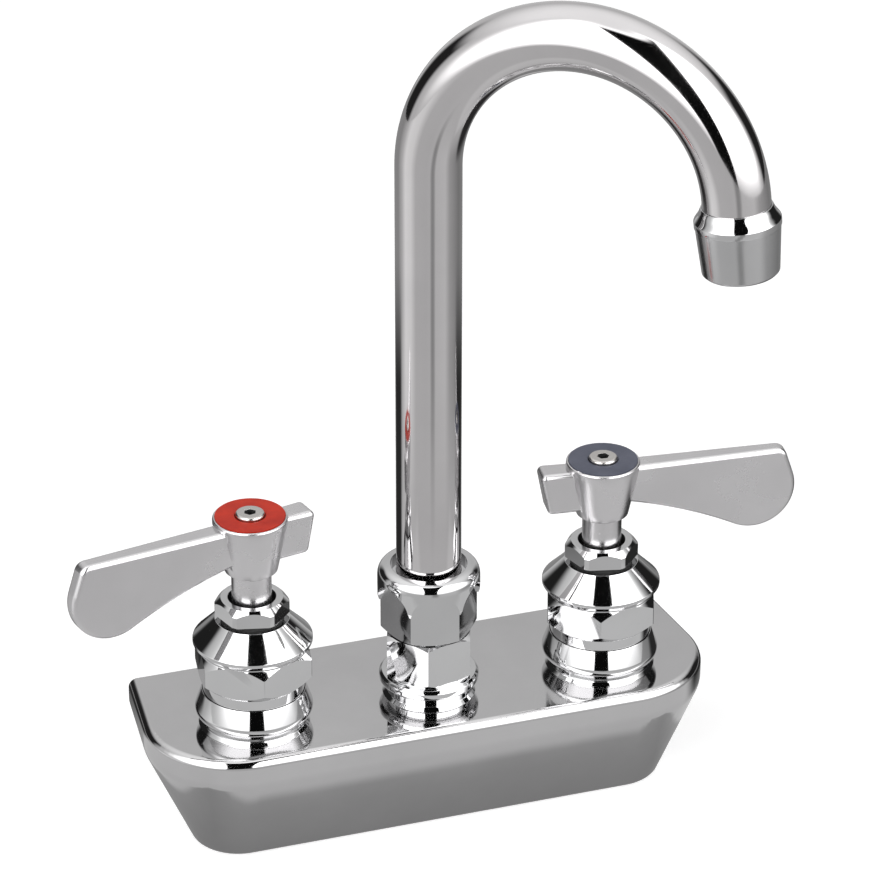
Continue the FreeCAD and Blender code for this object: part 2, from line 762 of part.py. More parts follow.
def draw_paddle(sketch):
    """Side outline of tail and paddle: a top edge that rises to the tip, and a hollow belly under a round lobe."""
    top, length, r = hub_top - size("blade_top_drop"), size("blade_length"), size("blade_lobe_radius")
    tail, tail_low, hollow = size("tail_length"), top - size("tail_height"), size("blade_belly_radius")
    centre_x, centre_y = length - r, top - size("blade_lobe_drop")
    corners = [(size("neck_radius"), top - size("blade_root_height")), (0, tail_low),
               (size("tail_slant") - tail, tail_low), (-tail, top), (0, top),
               (length - size("blade_end_slant"), top + size("blade_rise"))]
    spots = [Vector(as_size(x).value, as_size(y).value, 0) for x, y in corners]
    centre = Vector(centre_x.value, centre_y.value, 0)
    below = touching_centre(spots[0], centre, hollow.value, r.value)
    to_lobe, to_root = centre - below, spots[0] - below
    meet, root = math.atan2(to_lobe.y, to_lobe.x), math.atan2(to_root.y, to_root.x)
    high = tangent_angle(spots[-1], centre, r.value, -1)
    touch = centre + Vector(math.cos(high), math.sin(high), 0) * r.value

    def arc(middle, radius, start, end):
        return Part.ArcOfCircle(Part.Circle(middle, Vector(0, 0, 1), radius), start, end)

    for here, there in zip(spots, spots[1:]):
        sketch.addGeometry(Part.LineSegment(here, there), False)
    last = len(spots) - 2
    sketch.addGeometry(Part.LineSegment(spots[-1], touch), False)
    sketch.addGeometry(arc(centre, r.value, meet - math.pi, high), False)
    sketch.addGeometry(arc(below, hollow.value, meet, root), False)
    end, lobe, belly = last + 1, last + 2, last + 3
    for i, (x, y) in enumerate(corners[:-1]):
        pin(sketch, i, 1, x, y)
        if i:
            sketch.addConstraint(Sketcher.Constraint("Coincident", i - 1, 2, i, 1))
    pin(sketch, last, 2, *corners[-1])
    sketch.addConstraint(Sketcher.Constraint("Coincident", last, 2, end, 1))
    sketch.addConstraint(Sketcher.Constraint("Coincident", belly, 2, 0, 1))
    pin(sketch, lobe, 3, centre_x, centre_y)
    for number, radius in ((lobe, r), (belly, hollow)):
        limit = sketch.addConstraint(Sketcher.Constraint("Radius", number, radius.value))
        bind(sketch, "Constraints[%d]" % limit, radius)
    sketch.addConstraint(Sketcher.Constraint("Tangent", end, 2, lobe, 2))
    sketch.addConstraint(Sketcher.Constraint("Tangent", lobe, 1, belly, 1))


def make_lever(label):
    """The cast lever: a flat paddle and its short tail in one plate, through a neck and a flared hub."""
    body = new_body(label)
    sketch = new_sketch(body, label + "_side", "XZ_Plane")
    draw_paddle(sketch)
    length, back, top = size("blade_length"), size("tail_length"), hub_top - size("blade_top_drop")
    root, end = size("blade_root_thickness") / 2, size("blade_end_thickness") / 2
    wide = root + (root - end) * back / length
    push(body, label + "_paddle", sketch, wide * 2, both_ways=True)

    # The plate thins all the way to the tip of the paddle, and its edges are rounded
    crown = top + size("blade_rise")
    sketch = new_sketch(body, label + "_taper", "XY_Plane", lift=crown + WALL_CLEAR)
    for sign in (-1, 1):
        outside = (wide + WALL_CLEAR) * sign
        draw_outline(sketch, [(-back, wide * sign), (length, end * sign), (length, outside), (-back, outside)])
    depth = size("blade_rise") + size("blade_lobe_drop") + size("blade_lobe_radius") + 2 * WALL_CLEAR
    push(body, label + "_thinning", sketch, depth, cut=True)

    def at_tip(edge, middle):
        return abs(middle.y) < 1e-3 and abs(middle.z - crown.value) < 1e-3 and middle.x > 0

    def at_tail(edge, middle):
        return abs(middle.y) < 1e-3 and middle.x < -back.value / 2

    def on_a_side(edge, middle):
        inside_hub = all(abs(corner.X) < size("hub_foot_radius").value for corner in edge.Vertexes)
        return abs(middle.y) > end.value / 2 and not inside_hub

    dress(body, "Fillet", label + "_tip", edges_where(body.Tip, at_tip), size("blade_nose_radius"))
    dress(body, "Fillet", label + "_tail", edges_where(body.Tip, at_tail), size("tail_round"))
    dress(body, "Fillet", label + "_edges", edges_where(body.Tip, on_a_side), size("blade_round"))

    neck, foot, r = size("neck_radius"), size("hub_foot_radius"), size("hub_radius")
    rim = hub_top - size("hub_rim_height")
    corners = [(0, neck_foot), (neck, neck_foot), (neck, hub_foot), (foot, hub_cone),
               (r, rim), (r, hub_top), (0, hub_top)]
    hub = spin(body, label + "_hub", corners)
    dress(body, "Fillet", label + "_rim", rings(hub, (r, hub_top)), size("hub_round"))

    # Socket for the stem's splined end, hole for the screw, and the recess of the index ring
    shaft, spline = size("shaft_radius") + running_gap, size("spline_radius") + thread_gap
    hole, recess = size("screw_shank_radius") + seat_gap, size("index_radius") + running_gap
    spline_foot, above = socket_top - size("spline_length") - seat_gap, hub_top + WALL_CLEAR
    corners = [(0, neck_foot - WALL_CLEAR), (shaft, neck_foot - WALL_CLEAR), (shaft, spline_foot),
               (spline, spline_foot), (spline, socket_top), (hole, socket_top), (hole, index_foot),
               (recess, index_foot), (recess, above), (0, above)]
    spin(body, label + "_socket", corners, cut=True)
    return body


def make_screw(label):
    body = new_body(label)
    head, shank = size("screw_head_radius"), size("screw_shank_radius")
    foot, top = index_foot - size("screw_shank_length"), index_foot + size("screw_head_height")
    corners = [(0, foot), (shank, foot), (shank, index_foot), (head, index_foot), (head, top), (0, top)]
    form = spin(body, label + "_form", corners)
    dress(body, "Fillet", label + "_crown", rings(form, (head, top)), size("screw_head_round"))
    sketch = new_sketch(body, label + "_key", "XY_Plane", lift=top)
    draw_outline(sketch, hexagon(size("screw_socket_flats")))
    push(body, label + "_socket", sketch, size("screw_socket_depth"), cut=True)
    return body


def make_valve(side, sign):
    """All the pieces of one valve, from the seat seal up to the screw that holds the lever."""
    spot = (station * sign, -reach, deck)
    inner = size("shell_radius") - size("shell_wall") - running_gap
    seal_top, spigot = chamber_floor + size("seal_thickness"), tower_top - size("bonnet_thread_length")
    round_pieces = [
        tube_ring(side + "_seat_seal", inner, size("seal_inner_radius"), chamber_floor, seal_top),
        make_disc(side + "_fixed_disc", fixed_disc_foot),
        make_cartridge_shell(side + "_cartridge_shell"),
        tube_ring(side + "_bonnet_seal", size("bonnet_thread_radius"), size("shell_radius") + seat_gap,
                  thread_floor, spigot),
        tube_ring(side + "_packing_ring", size("gland_thread_radius"), size("shaft_radius") + seal_gap,
                  packing_foot, gland_bottom),
        make_disc(side + "_moving_disc", moving_disc_foot),
        make_stem(side + "_stem"),
    ]
    for piece in round_pieces:
        place(piece, *spot)
    place(make_bonnet(side + "_bonnet"), *spot, turn=size(side + "_bonnet_angle").value)
    place(make_packing_nut(side + "_packing_nut"), *spot, turn=size("gland_angle").value)
    ring_height = shell_top - seat_gap - size("stem_ring_drop")
    bearing = size("bearing_radius") + running_gap
    ring = o_ring(side + "_stem_o_ring", bearing - seal_gap - size("ring_section"), size("ring_section"))
    place(ring, spot[0], spot[1], spot[2] + ring_height)
    lean = size(side + "_lever_angle").value
    for piece in (
        make_lever(side + "_lever"),
        tube_ring(side + "_index_ring", size("index_radius"), size("index_hole_radius"),
                  index_foot, index_foot + size("index_thickness")),
        make_screw(side + "_handle_screw"),
    ):
        place(piece, *spot, turn=180 + lean if sign < 0 else -lean)


# Spout fittings on the post

def make_spout_adapter():
    body = new_body("spout_adapter")
    thread, flange, neck = size("adapter_thread_radius"), size("adapter_flange_radius"), size("adapter_top_radius")
    foot, half_bead = post_top - size("adapter_thread_length"), size("adapter_flange_height") / 2
    corner, bevel = size("adapter_flats") / (2 * COS_30), size("adapter_chamfer")
    corners = [(0, foot), (thread, foot), (thread, post_top), (flange - half_bead / 2, post_top),
               (flange, post_top + half_bead / 2), (flange, adapter_hex - half_bead / 2),
               (flange - half_bead / 2, adapter_hex), (corner - bevel, adapter_hex),
               (corner, adapter_hex + bevel), (corner, adapter_neck - bevel / 2),
               (corner - bevel, adapter_neck), (neck, adapter_neck), (neck, adapter_top), (0, adapter_top)]
    spin(body, "adapter_form", corners)
    cut_hexagon(body, "adapter_hexagon", size("adapter_flats"), adapter_hex, adapter_neck, flange + WALL_CLEAR)
    socket, water = size("sleeve_radius") + running_gap, size("waterway_radius")
    floor, above = adapter_top - size("adapter_socket_depth"), adapter_top + WALL_CLEAR
    corners = [(0, foot - WALL_CLEAR), (water, foot - WALL_CLEAR), (water, floor), (socket, floor),
               (socket, above), (0, above)]
    spin(body, "adapter_bore", corners, cut=True)
    return body


def make_swivel_nut():
    """The coupling nut: six flats with round heads, milled into a body that swells to a collar."""
    body = new_body("swivel_nut")
    thread, lip = size("adapter_top_radius") + thread_gap, size("tube_radius") + running_gap
    apothem, bevel = size("nut_flats") / 2, size("nut_chamfer")
    corner, half_side = apothem / COS_30, apothem * math.tan(math.radians(30))
    collar, mouth = size("nut_collar_radius"), size("nut_mouth_radius")
    lip_top, swell = nut_lip + size("nut_lip_thickness"), size("nut_swell")
    corners = [(thread, nut_foot), (corner - bevel, nut_foot), (corner, nut_foot + bevel / 2),
               (corner, nut_spring - swell), (collar, nut_spring + swell), (collar, nut_top), (mouth, nut_top),
               (mouth, lip_top), (lip, lip_top), (lip, nut_lip), (thread, nut_lip)]
    form = spin(body, "nut_form", corners)
    dress(body, "Fillet", "nut_shoulder", rings(form, (collar, nut_top)), size("nut_collar_round"))
    cut_hexagon(body, "nut_hexagon", size("nut_flats"), nut_foot, nut_spring, collar + WALL_CLEAR)
    sketch = new_sketch(body, "flat_head_circle", "XZ_Plane", y=nut_spring, lift=apothem)
    draw_circle(sketch, 0, 0, half_side)
    head = push(body, "flat_head", sketch, collar - apothem + WALL_CLEAR, cut=True, reverse=True)
    repeat_round(body, "flat_heads", head, 6)
    return body


def make_swivel_sleeve():
    """The machined end brazed into the tube, with a flange that the nut traps and two ring grooves."""
    body = new_body("swivel_sleeve")
    r, hole, section = size("sleeve_radius"), size("sleeve_bore_radius"), size("ring_section")
    flange, half = size("adapter_top_radius") - running_gap, section + seal_gap
    tenon = size("tube_radius") - size("tube_wall") - seal_gap
    groove = r + running_gap - 2 * section - 2 * seal_gap
    corners = [(hole, sleeve_foot), (r, sleeve_foot)]
    for height in spout_ring_heights():
        corners += [(r, height - half), (groove, height - half), (groove, height + half), (r, height + half)]
    corners += [(r, sleeve_flange), (flange, sleeve_flange), (flange, tube_foot), (tenon, tube_foot),
                (tenon, tube_foot + size("sleeve_tenon_length")), (hole, tube_foot + size("sleeve_tenon_length"))]
    spin(body, "sleeve_form", corners)
    return body


def spout_ring_heights():
    middle, half = sleeve_foot + size("sleeve_length") / 2, size("spout_ring_spacing") / 2
    return middle - half, middle + half


def make_gooseneck():
    """The bent tube: a straight riser, one round arch in the local XZ plane and a short straight tail."""
    body = new_body("gooseneck_tube")
    r, rise, bend = size("tube_radius"), size("arch_height"), size("bend_radius")
    section = new_sketch(body, "tube_section", "XY_Plane", lift=tube_foot)
    draw_circle(section, 0, 0, r)
    draw_circle(section, 0, 0, r - size("tube_wall"))
    path = new_sketch(body, "tube_path", "XZ_Plane")
    centre, finish = Vector(bend.value, rise.value, 0), math.radians(180 - size("bend_angle").value)
    tail_spots = outlet_spots()
    stops = [Vector(as_size(x).value, as_size(y).value, 0) for x, y in tail_spots]
    path.addGeometry(Part.LineSegment(Vector(0, tube_foot.value, 0), Vector(0, rise.value, 0)), False)
    circle = Part.Circle(centre, Vector(0, 0, 1), bend.value)
    path.addGeometry(Part.ArcOfCircle(circle, finish, math.pi), False)
    path.addGeometry(Part.LineSegment(*stops), False)
    riser, arch, tail = range(3)
    pin(path, riser, 1, 0, tube_foot)
    pin(path, riser, 2, 0, rise)
    path.addConstraint(Sketcher.Constraint("Coincident", riser, 2, arch, 2))
    pin(path, arch, 3, bend, rise)
    path.addConstraint(Sketcher.Constraint("Tangent", arch, 1, tail, 1))
    pin(path, tail, 2, *tail_spots[1])
    tube = body.newObject("PartDesign::AdditivePipe", "tube")
    tube.Profile = section
    tube.Spine = (path, ["Edge1", "Edge2", "Edge3"])
    doc.recompute()
    return body


def outlet_spots():
    """Where the bend ends and where the tube ends, as (across, up) in the plane of the arch."""
    rise, bend, tail = size("arch_height"), size("bend_radius"), size("outlet_tail")
    bend_end = (bend * (1 - COS_BEND), rise + bend * SIN_BEND)
    return bend_end, (bend_end[0] + tail * SIN_BEND, bend_end[1] + tail * COS_BEND)


def make_outlet_ferrule():
    """The flared end brazed over the tube, which carries the aerator on its thread."""
    body = new_body("outlet_ferrule")
    r, band, thread = size("ferrule_radius"), size("ferrule_band"), size("ferrule_thread_radius")
    lap, tube, hole = size("ferrule_lap"), size("tube_radius") + seal_gap, size("ferrule_bore_radius")
    edge, step = tube + size("ferrule_edge"), lap / 2
    waist = edge + size("ferrule_waist")
    corners = [(tube, -lap), (edge, -lap), (waist, -step), (r, 0), (r, band), (thread, band),
               (thread, band + size("ferrule_thread_length")), (hole, band + size("ferrule_thread_length")),
               (hole, 0), (tube, 0)]
    spin(body, "ferrule_form", corners)
    return body


def make_aerator_housing():
    body = new_body("aerator_housing")
    band, r, end = size("ferrule_band"), size("ferrule_radius") - size("housing_inset"), size("housing_end_radius")
    thread = size("ferrule_thread_radius") + thread_gap
    chamber, bevel = size("insert_radius") + running_gap, size("housing_chamfer")
    low = band + size("housing_length")
    mouth, lip = chamber - size("housing_lip"), low - size("housing_lip")
    corners = [(thread, band), (r, band), (end, low - bevel), (end - bevel, low), (mouth, low),
               (mouth, lip), (chamber, lip), (chamber, insert_foot()), (thread, insert_foot())]
    spin(body, "housing_form", corners)
    return body


def insert_foot():
    """How far down the outlet the aerator's screen starts."""
    return size("ferrule_band") + size("ferrule_thread_length") + size("aerator_washer_thickness")


def make_sieve(label, high, low, hole):
    """A round plate with one hole in the middle and two rings of holes about it."""
    body = new_body(label)
    sketch = new_sketch(body, label + "_plan", "XY_Plane", lift=high)
    draw_circle(sketch, 0, 0, size("insert_radius"))
    draw_circle(sketch, 0, 0, hole)
    push(body, label + "_plate", sketch, low - high)
    for name in ("inner", "outer"):
        sketch = new_sketch(body, "%s_%s_plan" % (label, name), "XY_Plane", lift=high)
        draw_circle(sketch, size(name + "_jet_reach"), 0, hole)
        jet = push(body, "%s_%s_hole" % (label, name), sketch, low - high, cut=True, reverse=True)
        repeat_round(body, "%s_%s_holes" % (label, name), jet, size(name + "_jets"))
    return body


def make_spout():
    """The still fittings on the post and the pieces that swing with the gooseneck."""
    spot = (0, -reach, deck)
    r, tube, neck = size("sleeve_radius"), size("tube_radius"), size("adapter_top_radius")
    foot = post_top - size("adapter_thread_length")
    round_pieces = [
        tube_ring("adapter_gasket", size("adapter_thread_radius"), size("waterway_radius"),
                  foot - size("gasket_thickness"), foot),
        tube_ring("swivel_washer", neck, r + running_gap, adapter_top, sleeve_flange),
        tube_ring("friction_washer", neck - running_gap, tube + running_gap, tube_foot + seal_gap, nut_lip),
        make_swivel_sleeve(),
    ]
    for piece in round_pieces:
        place(piece, *spot)
    place(make_spout_adapter(), *spot, turn=size("adapter_angle").value)
    place(make_swivel_nut(), *spot, turn=size("nut_angle").value)
    for name, height in zip(("lower", "upper"), spout_ring_heights()):
        ring = o_ring("spout_o_ring_" + name, r + running_gap - seal_gap - size("ring_section"),
                      size("ring_section"))
        place(ring, spot[0], spot[1], spot[2] + height)
    turn = -size("spout_angle").value
    place(make_gooseneck(), *spot, turn=turn)

    # The outlet pieces are drawn downstream of the tube's end and tipped over to meet it
    band, screen_foot = size("ferrule_band"), insert_foot()
    screen_low = screen_foot + size("screen_thickness")
    insert_low = band + size("housing_length") - size("housing_lip")
    outlet = [
        make_outlet_ferrule(),
        tube_ring("aerator_washer", size("ferrule_thread_radius"), size("ferrule_bore_radius"),
                  band + size("ferrule_thread_length"), screen_foot),
        make_sieve("aerator_screen", screen_foot, screen_low, size("screen_eye_radius")),
        make_sieve("aerator_insert", screen_low, insert_low, size("jet_radius")),
        make_aerator_housing(),
    ]
    across, up = outlet_spots()[1]
    tip = Rotation(Vector(0, 0, 1), turn) * Rotation(Vector(0, 1, 0), size("bend_angle").value)
    for piece in outlet:
        place(piece, across * COS_SPOUT, -reach - across * SIN_SPOUT, deck + up, tip)


make_body_casting()
for valve_side, valve_sign in (("hot", -1), ("cold", 1)):
    make_valve(valve_side, valve_sign)
make_spout()
doc.recompute()

# Every feature must have recomputed, and every piece must be one sound solid, before anything is written
for thing in doc.Objects:
    if "Invalid" in thing.State or "Error" in thing.State:
        raise RuntimeError("%s failed: %s" % (thing.Label, thing.State))
for piece in finished:
    shape = piece.Shape
    if shape.isNull() or not shape.isValid() or len(shape.Solids) != 1:
        raise RuntimeError("%s is not one sound solid" % piece.Label)

os.makedirs("parts", exist_ok=True)
for piece in finished:
    piece.Shape.exportStep(os.path.join("parts", piece.Label + ".step"))
tube_length = size("arch_height").value - tube_foot.value + size("outlet_tail").value
tube_length += size("bend_radius").value * math.radians(size("bend_angle").value)
print("%d pieces, gooseneck %.1f mm along its middle" % (len(finished), tube_length))
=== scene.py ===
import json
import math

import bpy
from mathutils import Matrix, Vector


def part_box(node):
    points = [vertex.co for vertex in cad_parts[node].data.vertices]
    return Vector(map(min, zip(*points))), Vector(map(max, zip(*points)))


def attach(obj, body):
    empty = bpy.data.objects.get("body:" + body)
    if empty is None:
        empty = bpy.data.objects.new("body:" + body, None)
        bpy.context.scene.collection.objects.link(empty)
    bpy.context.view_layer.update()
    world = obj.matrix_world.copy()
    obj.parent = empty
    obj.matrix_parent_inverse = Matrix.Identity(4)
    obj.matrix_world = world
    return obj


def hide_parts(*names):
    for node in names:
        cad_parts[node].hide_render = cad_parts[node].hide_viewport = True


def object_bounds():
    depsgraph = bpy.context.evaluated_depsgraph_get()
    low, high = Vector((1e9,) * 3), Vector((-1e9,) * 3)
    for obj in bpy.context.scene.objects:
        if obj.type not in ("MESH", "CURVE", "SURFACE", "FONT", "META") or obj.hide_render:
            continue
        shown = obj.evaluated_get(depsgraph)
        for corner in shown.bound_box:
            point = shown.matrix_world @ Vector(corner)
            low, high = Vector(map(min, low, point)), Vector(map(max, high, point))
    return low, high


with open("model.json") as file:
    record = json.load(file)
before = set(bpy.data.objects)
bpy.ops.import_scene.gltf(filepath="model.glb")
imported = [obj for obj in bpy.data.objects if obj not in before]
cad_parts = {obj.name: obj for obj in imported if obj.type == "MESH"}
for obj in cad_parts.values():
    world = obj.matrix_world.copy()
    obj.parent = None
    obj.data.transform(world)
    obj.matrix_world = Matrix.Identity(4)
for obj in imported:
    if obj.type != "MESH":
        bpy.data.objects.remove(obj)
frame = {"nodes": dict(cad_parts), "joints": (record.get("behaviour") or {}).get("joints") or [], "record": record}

# %% [markdown]
# # A wall-mounted gooseneck faucet in mirror chrome
# The solids of this faucet come from a CAD model, one object for each real piece. This lesson gives them
# the look of the real thing: smooth plated surfaces, softened edges, and a studio whose white panels and
# dark gaps draw the faucet by their reflections. Lengths here are in metres, as in the CAD frame.

MM = 0.001
JOIN_DISTANCE = 0.002 * MM
nodes, cad_box = frame["nodes"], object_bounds()
body_of_node = {n: b for b, members in frame["record"]["behaviour"]["bodies"].items() for n in members}
bpy.context.scene.view_settings.view_transform = "Standard"
print(len(nodes), "solids in a box of", [round(v, 3) for v in cad_box[1] - cad_box[0]])

# %% [markdown]
# ## Writing shader maths as plain expressions
# A node graph is easier to read as a formula. The class below wraps one output of a node. Adding or
# multiplying two of them adds the Math node that does the same, so `1 - wear * 0.2` works as written.

# %% A wrapped socket, and a finish that makes nodes


class Signal:
    """One output of a node, with the operators that add Math nodes."""

    def __init__(self, finish, socket):
        self.finish = finish
        self.socket = socket

    def __add__(self, other):
        return self.finish.maths("ADD", self, other)

    def __radd__(self, other):
        return self.finish.maths("ADD", other, self)

    def __sub__(self, other):
        return self.finish.maths("SUBTRACT", self, other)

    def __rsub__(self, other):
        return self.finish.maths("SUBTRACT", other, self)

    def __mul__(self, other):
        return self.finish.maths("MULTIPLY", self, other)

    def __rmul__(self, other):
        return self.finish.maths("MULTIPLY", other, self)


class Made:
    """One node that has been made, whose outputs are read by name or number."""

    def __init__(self, finish, node):
        self.finish = finish
        self.node = node

    def __getitem__(self, name):
        return Signal(self.finish, self.node.outputs[name])


class Finish:
    """A new material, or another owner of nodes, and the one way in which its nodes are added."""

    def __init__(self, name, owner=None):
        self.owner = owner or bpy.data.materials.new(name)
        self.owner.use_nodes = True
        self.tree = self.owner.node_tree
        self.tree.nodes.clear()

    def node(self, kind, settings=None, values=None):
        node = self.tree.nodes.new(kind)
        for name, value in (settings or {}).items():
            if name == "stops":
                self.set_stops(node.color_ramp, value)
            else:
                setattr(node, name, value)
        for name, value in (values or {}).items():
            if isinstance(value, Signal):
                self.tree.links.new(value.socket, node.inputs[name])
            else:
                node.inputs[name].default_value = value
        return Made(self, node)

    def set_stops(self, ramp, stops):
        for element, (place, colour) in zip((ramp.elements[0], ramp.elements[1]), (stops[0], stops[-1])):
            element.position, element.color = place, (*colour, 1)
        for place, colour in stops[1:-1]:
            ramp.elements.new(place).color = (*colour, 1)

    def place_on_piece(self):
        """The point on the piece, in its own metres."""
        return self.node("ShaderNodeTexCoord")["Object"]

    def noise(self, per_metre, detail=2.0, roughness=0.5):
        where = self.place_on_piece()
        values = {"Vector": where, "Scale": per_metre, "Detail": detail, "Roughness": roughness}
        return self.node("ShaderNodeTexNoise", {}, values)["Fac"]

    def colours(self, share, stops):
        """A colour that runs through stops of (place, colour) as a share goes from 0 to 1."""
        return self.node("ShaderNodeValToRGB", {"stops": stops}, {"Fac": share})["Color"]

    def greys(self, share, stops):
        """As colours, but each stop is (place, tone)."""
        return self.colours(share, [(place, (tone, tone, tone)) for place, tone in stops])

    def bump(self, height):
        """The surface's direction, bent by a height in metres."""
        values = {"Strength": 1.0, "Distance": 1.0, "Height": height}
        return self.node("ShaderNodeBump", {}, values)["Normal"]

    def maths(self, operation, first, second):
        return self.node("ShaderNodeMath", {"operation": operation}, {0: first, 1: second})[0]

    def size_of(self, value):
        """A value without its sign."""
        return self.maths("ABSOLUTE", value, 0.0)

    def seen(self):
        """1 where the camera, a mirror or glass sees the surface, and 0 where it only lights other things."""
        path = self.node("ShaderNodeLightPath")
        direct = self.maths("MAXIMUM", path["Is Camera Ray"], path["Is Glossy Ray"])
        return self.maths("MAXIMUM", direct, path["Is Transmission Ray"])

    def glow(self, strength):
        return self.node("ShaderNodeEmission", {}, {"Color": (1, 1, 1, 1), "Strength": strength})["Emission"]

    def step(self, value, low, high):
        """A soft step from 0 at low to 1 at high."""
        limits = {"Value": value, "From Min": low, "From Max": high}
        return self.node("ShaderNodeMapRange", {"interpolation_type": "SMOOTHSTEP"}, limits)["Result"]

    def blend(self, first, second, share):
        """The first tone where share is 0, and the second where it is 1."""
        values = {0: share, 2: first, 3: second}
        return self.node("ShaderNodeMix", {"data_type": "FLOAT"}, values)["Result"]

    def done(self, shader):
        self.node("ShaderNodeOutputMaterial", {}, {"Surface": shader})
        return self.owner


# %% [markdown]
# ## Plated metal
# Chrome plate reflects a little over half of the light that meets it, and has next to no colour. What
# makes it real is how far it is from a perfect mirror: buffing leaves a slow ripple that bends the
# reflections, and fingers leave faint smears that are only seen in the gloss. One recipe with a few
# amounts gives the mirror, the casting, the satin levers, the brushed outlet, the screws and bare brass.

# %% The recipe for every plated or bare metal
SMEARS_PER_METRE, BUFFING_PER_METRE = 35.0, 1500.0
SMEAR_STARTS, SMEAR_FULL = 0.42, 0.72
DULLED = 0.93


def plated(name, tint, gloss, smear, ripple, ripple_size=20 * MM, grain=0.0):
    """tint is the colour of the reflections, gloss the roughness, and smear how far smears add to it.
    ripple and grain are heights in metres, of the slow wave and of the marks of buffing."""
    finish = Finish(name)
    cloud = finish.noise(SMEARS_PER_METRE, detail=4.0, roughness=0.6)
    limits = {"Value": cloud, "From Min": SMEAR_STARTS, "From Max": SMEAR_FULL}
    smears = finish.node("ShaderNodeMapRange", {}, limits)["Result"]
    buffing = finish.noise(BUFFING_PER_METRE, roughness=0.7)
    darker = tuple(c * DULLED for c in tint)
    wave = finish.noise(1.0 / ripple_size, roughness=0.4)
    return finish.done(finish.node("ShaderNodeBsdfPrincipled", {}, {
        "Base Color": finish.colours(cloud, [(0.3, darker), (0.7, tint)]),
        "Metallic": 1.0,
        "Roughness": smears * smear + gloss + (buffing - 0.5) * (smear * 0.2),
        "Normal": finish.bump(wave * ripple + buffing * grain)})["BSDF"])


mirror_chrome = plated("mirror_chrome", (0.63, 0.63, 0.635), 0.035, 0.05, 0.06 * MM)
casting_chrome = plated("casting_chrome", (0.60, 0.595, 0.60), 0.06, 0.05, 0.08 * MM, ripple_size=30 * MM)
tube_chrome = plated("tube_chrome", (0.63, 0.615, 0.62), 0.06, 0.05, 0.12 * MM, ripple_size=35 * MM)
satin_chrome = plated("satin_chrome", (0.66, 0.65, 0.66), 0.25, 0.06, 0.04 * MM)
outlet_chrome = plated("outlet_chrome", (0.56, 0.56, 0.565), 0.15, 0.06, 0.04 * MM)
stainless = plated("stainless", (0.58, 0.56, 0.54), 0.22, 0.08, 0.02 * MM, grain=0.004 * MM)
turned_brass = plated("turned_brass", (0.72, 0.50, 0.22), 0.24, 0.10, 0.02 * MM, grain=0.004 * MM)
print("materials so far:", len(bpy.data.materials))

# %% [markdown]
# ## Enamel, rubber, ceramic and plastic
# The index rings are filled with enamel, red for hot and a dark blue-grey for cold. Enamel pools a
# little, so its colour drifts. Rubber is dull and slightly dusty, the ceramic discs are lapped, and the
# seals and the flow straightener are plain plastics. One recipe covers them, since none is a metal.

# %% The recipe for every finish that is not metal
PATCHES_PER_METRE, PORES_PER_METRE = 120.0, 2600.0
PORE_DEPTH = 0.01 * MM


def moulded(name, low, high, gloss, patchiness, shine=0.5):
    """low and high are the colours it drifts between, and patchiness is how far its gloss drifts."""
    finish = Finish(name)
    cloud = finish.noise(PATCHES_PER_METRE, detail=4.0, roughness=0.6)
    pores = finish.noise(PORES_PER_METRE)
    return finish.done(finish.node("ShaderNodeBsdfPrincipled", {}, {
        "Base Color": finish.colours(cloud, [(0.35, low), (0.65, high)]),
        "Roughness": cloud * patchiness + gloss,
        "Normal": finish.bump(pores * PORE_DEPTH),
        "Specular IOR Level": shine})["BSDF"])


red_enamel = moulded("red_enamel", (0.46, 0.018, 0.006), (0.62, 0.032, 0.010), 0.30, 0.12, shine=0.15)
blue_enamel = moulded("blue_enamel", (0.098, 0.106, 0.145), (0.130, 0.138, 0.182), 0.30, 0.12, shine=0.15)
black_rubber = moulded("black_rubber", (0.018, 0.018, 0.019), (0.032, 0.032, 0.033), 0.50, 0.25)
# painted shade: a dull black for the narrow gaps, which stands for the deep shadow that fills them
painted_shade_black = moulded("painted_shade_black", (0.004, 0.004, 0.004), (0.010, 0.010, 0.010), 0.60, 0.20)
lapped_ceramic = moulded("lapped_ceramic", (0.76, 0.74, 0.69), (0.84, 0.82, 0.77), 0.18, 0.10)
seal_plastic = moulded("seal_plastic", (0.70, 0.68, 0.62), (0.78, 0.76, 0.70), 0.35, 0.15)
white_plastic = moulded("white_plastic", (0.74, 0.74, 0.72), (0.82, 0.82, 0.80), 0.28, 0.12)
print("materials now:", len(bpy.data.materials))

# %% [markdown]
# ## Smooth skins over the CAD solids
# The CAD solids arrive as loose triangles. A mirror shows every flat triangle, so each visible metal
# piece gets a skin: a copy whose triangles are joined and whose flat areas are merged, shaded smooth up to
# its sharp edges. On the outlet and the screws those edges are softened too, by a tenth of a millimetre or
# less. Real turned pieces have such soft edges, and they catch the light in thin bright lines.

# %% Helpers for one piece at a time


def only(piece):
    """Leaves one piece selected and active, since an operator acts on all that is selected."""
    bpy.ops.object.select_all(action="DESELECT")
    piece.select_set(True)
    bpy.context.view_layer.objects.active = piece


def finish_modifier(piece, kind, **settings):
    modifier = piece.modifiers.new(kind.lower(), kind)
    for name, value in settings.items():
        setattr(modifier, name, value)
    only(piece)
    bpy.ops.object.modifier_apply(modifier=modifier.name)


def paint(piece, material):
    piece.data.materials.clear()
    piece.data.materials.append(material)


def stand_for(piece, node, material):
    """Paints a new piece, which moves with a CAD node's body and is seen in the node's place."""
    paint(piece, material)
    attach(piece, body_of_node[node])
    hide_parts(node)


# %% Joining, softening and shading a skin
FLAT_DEGREES, SHARP_DEGREES = 0.2, 28.0


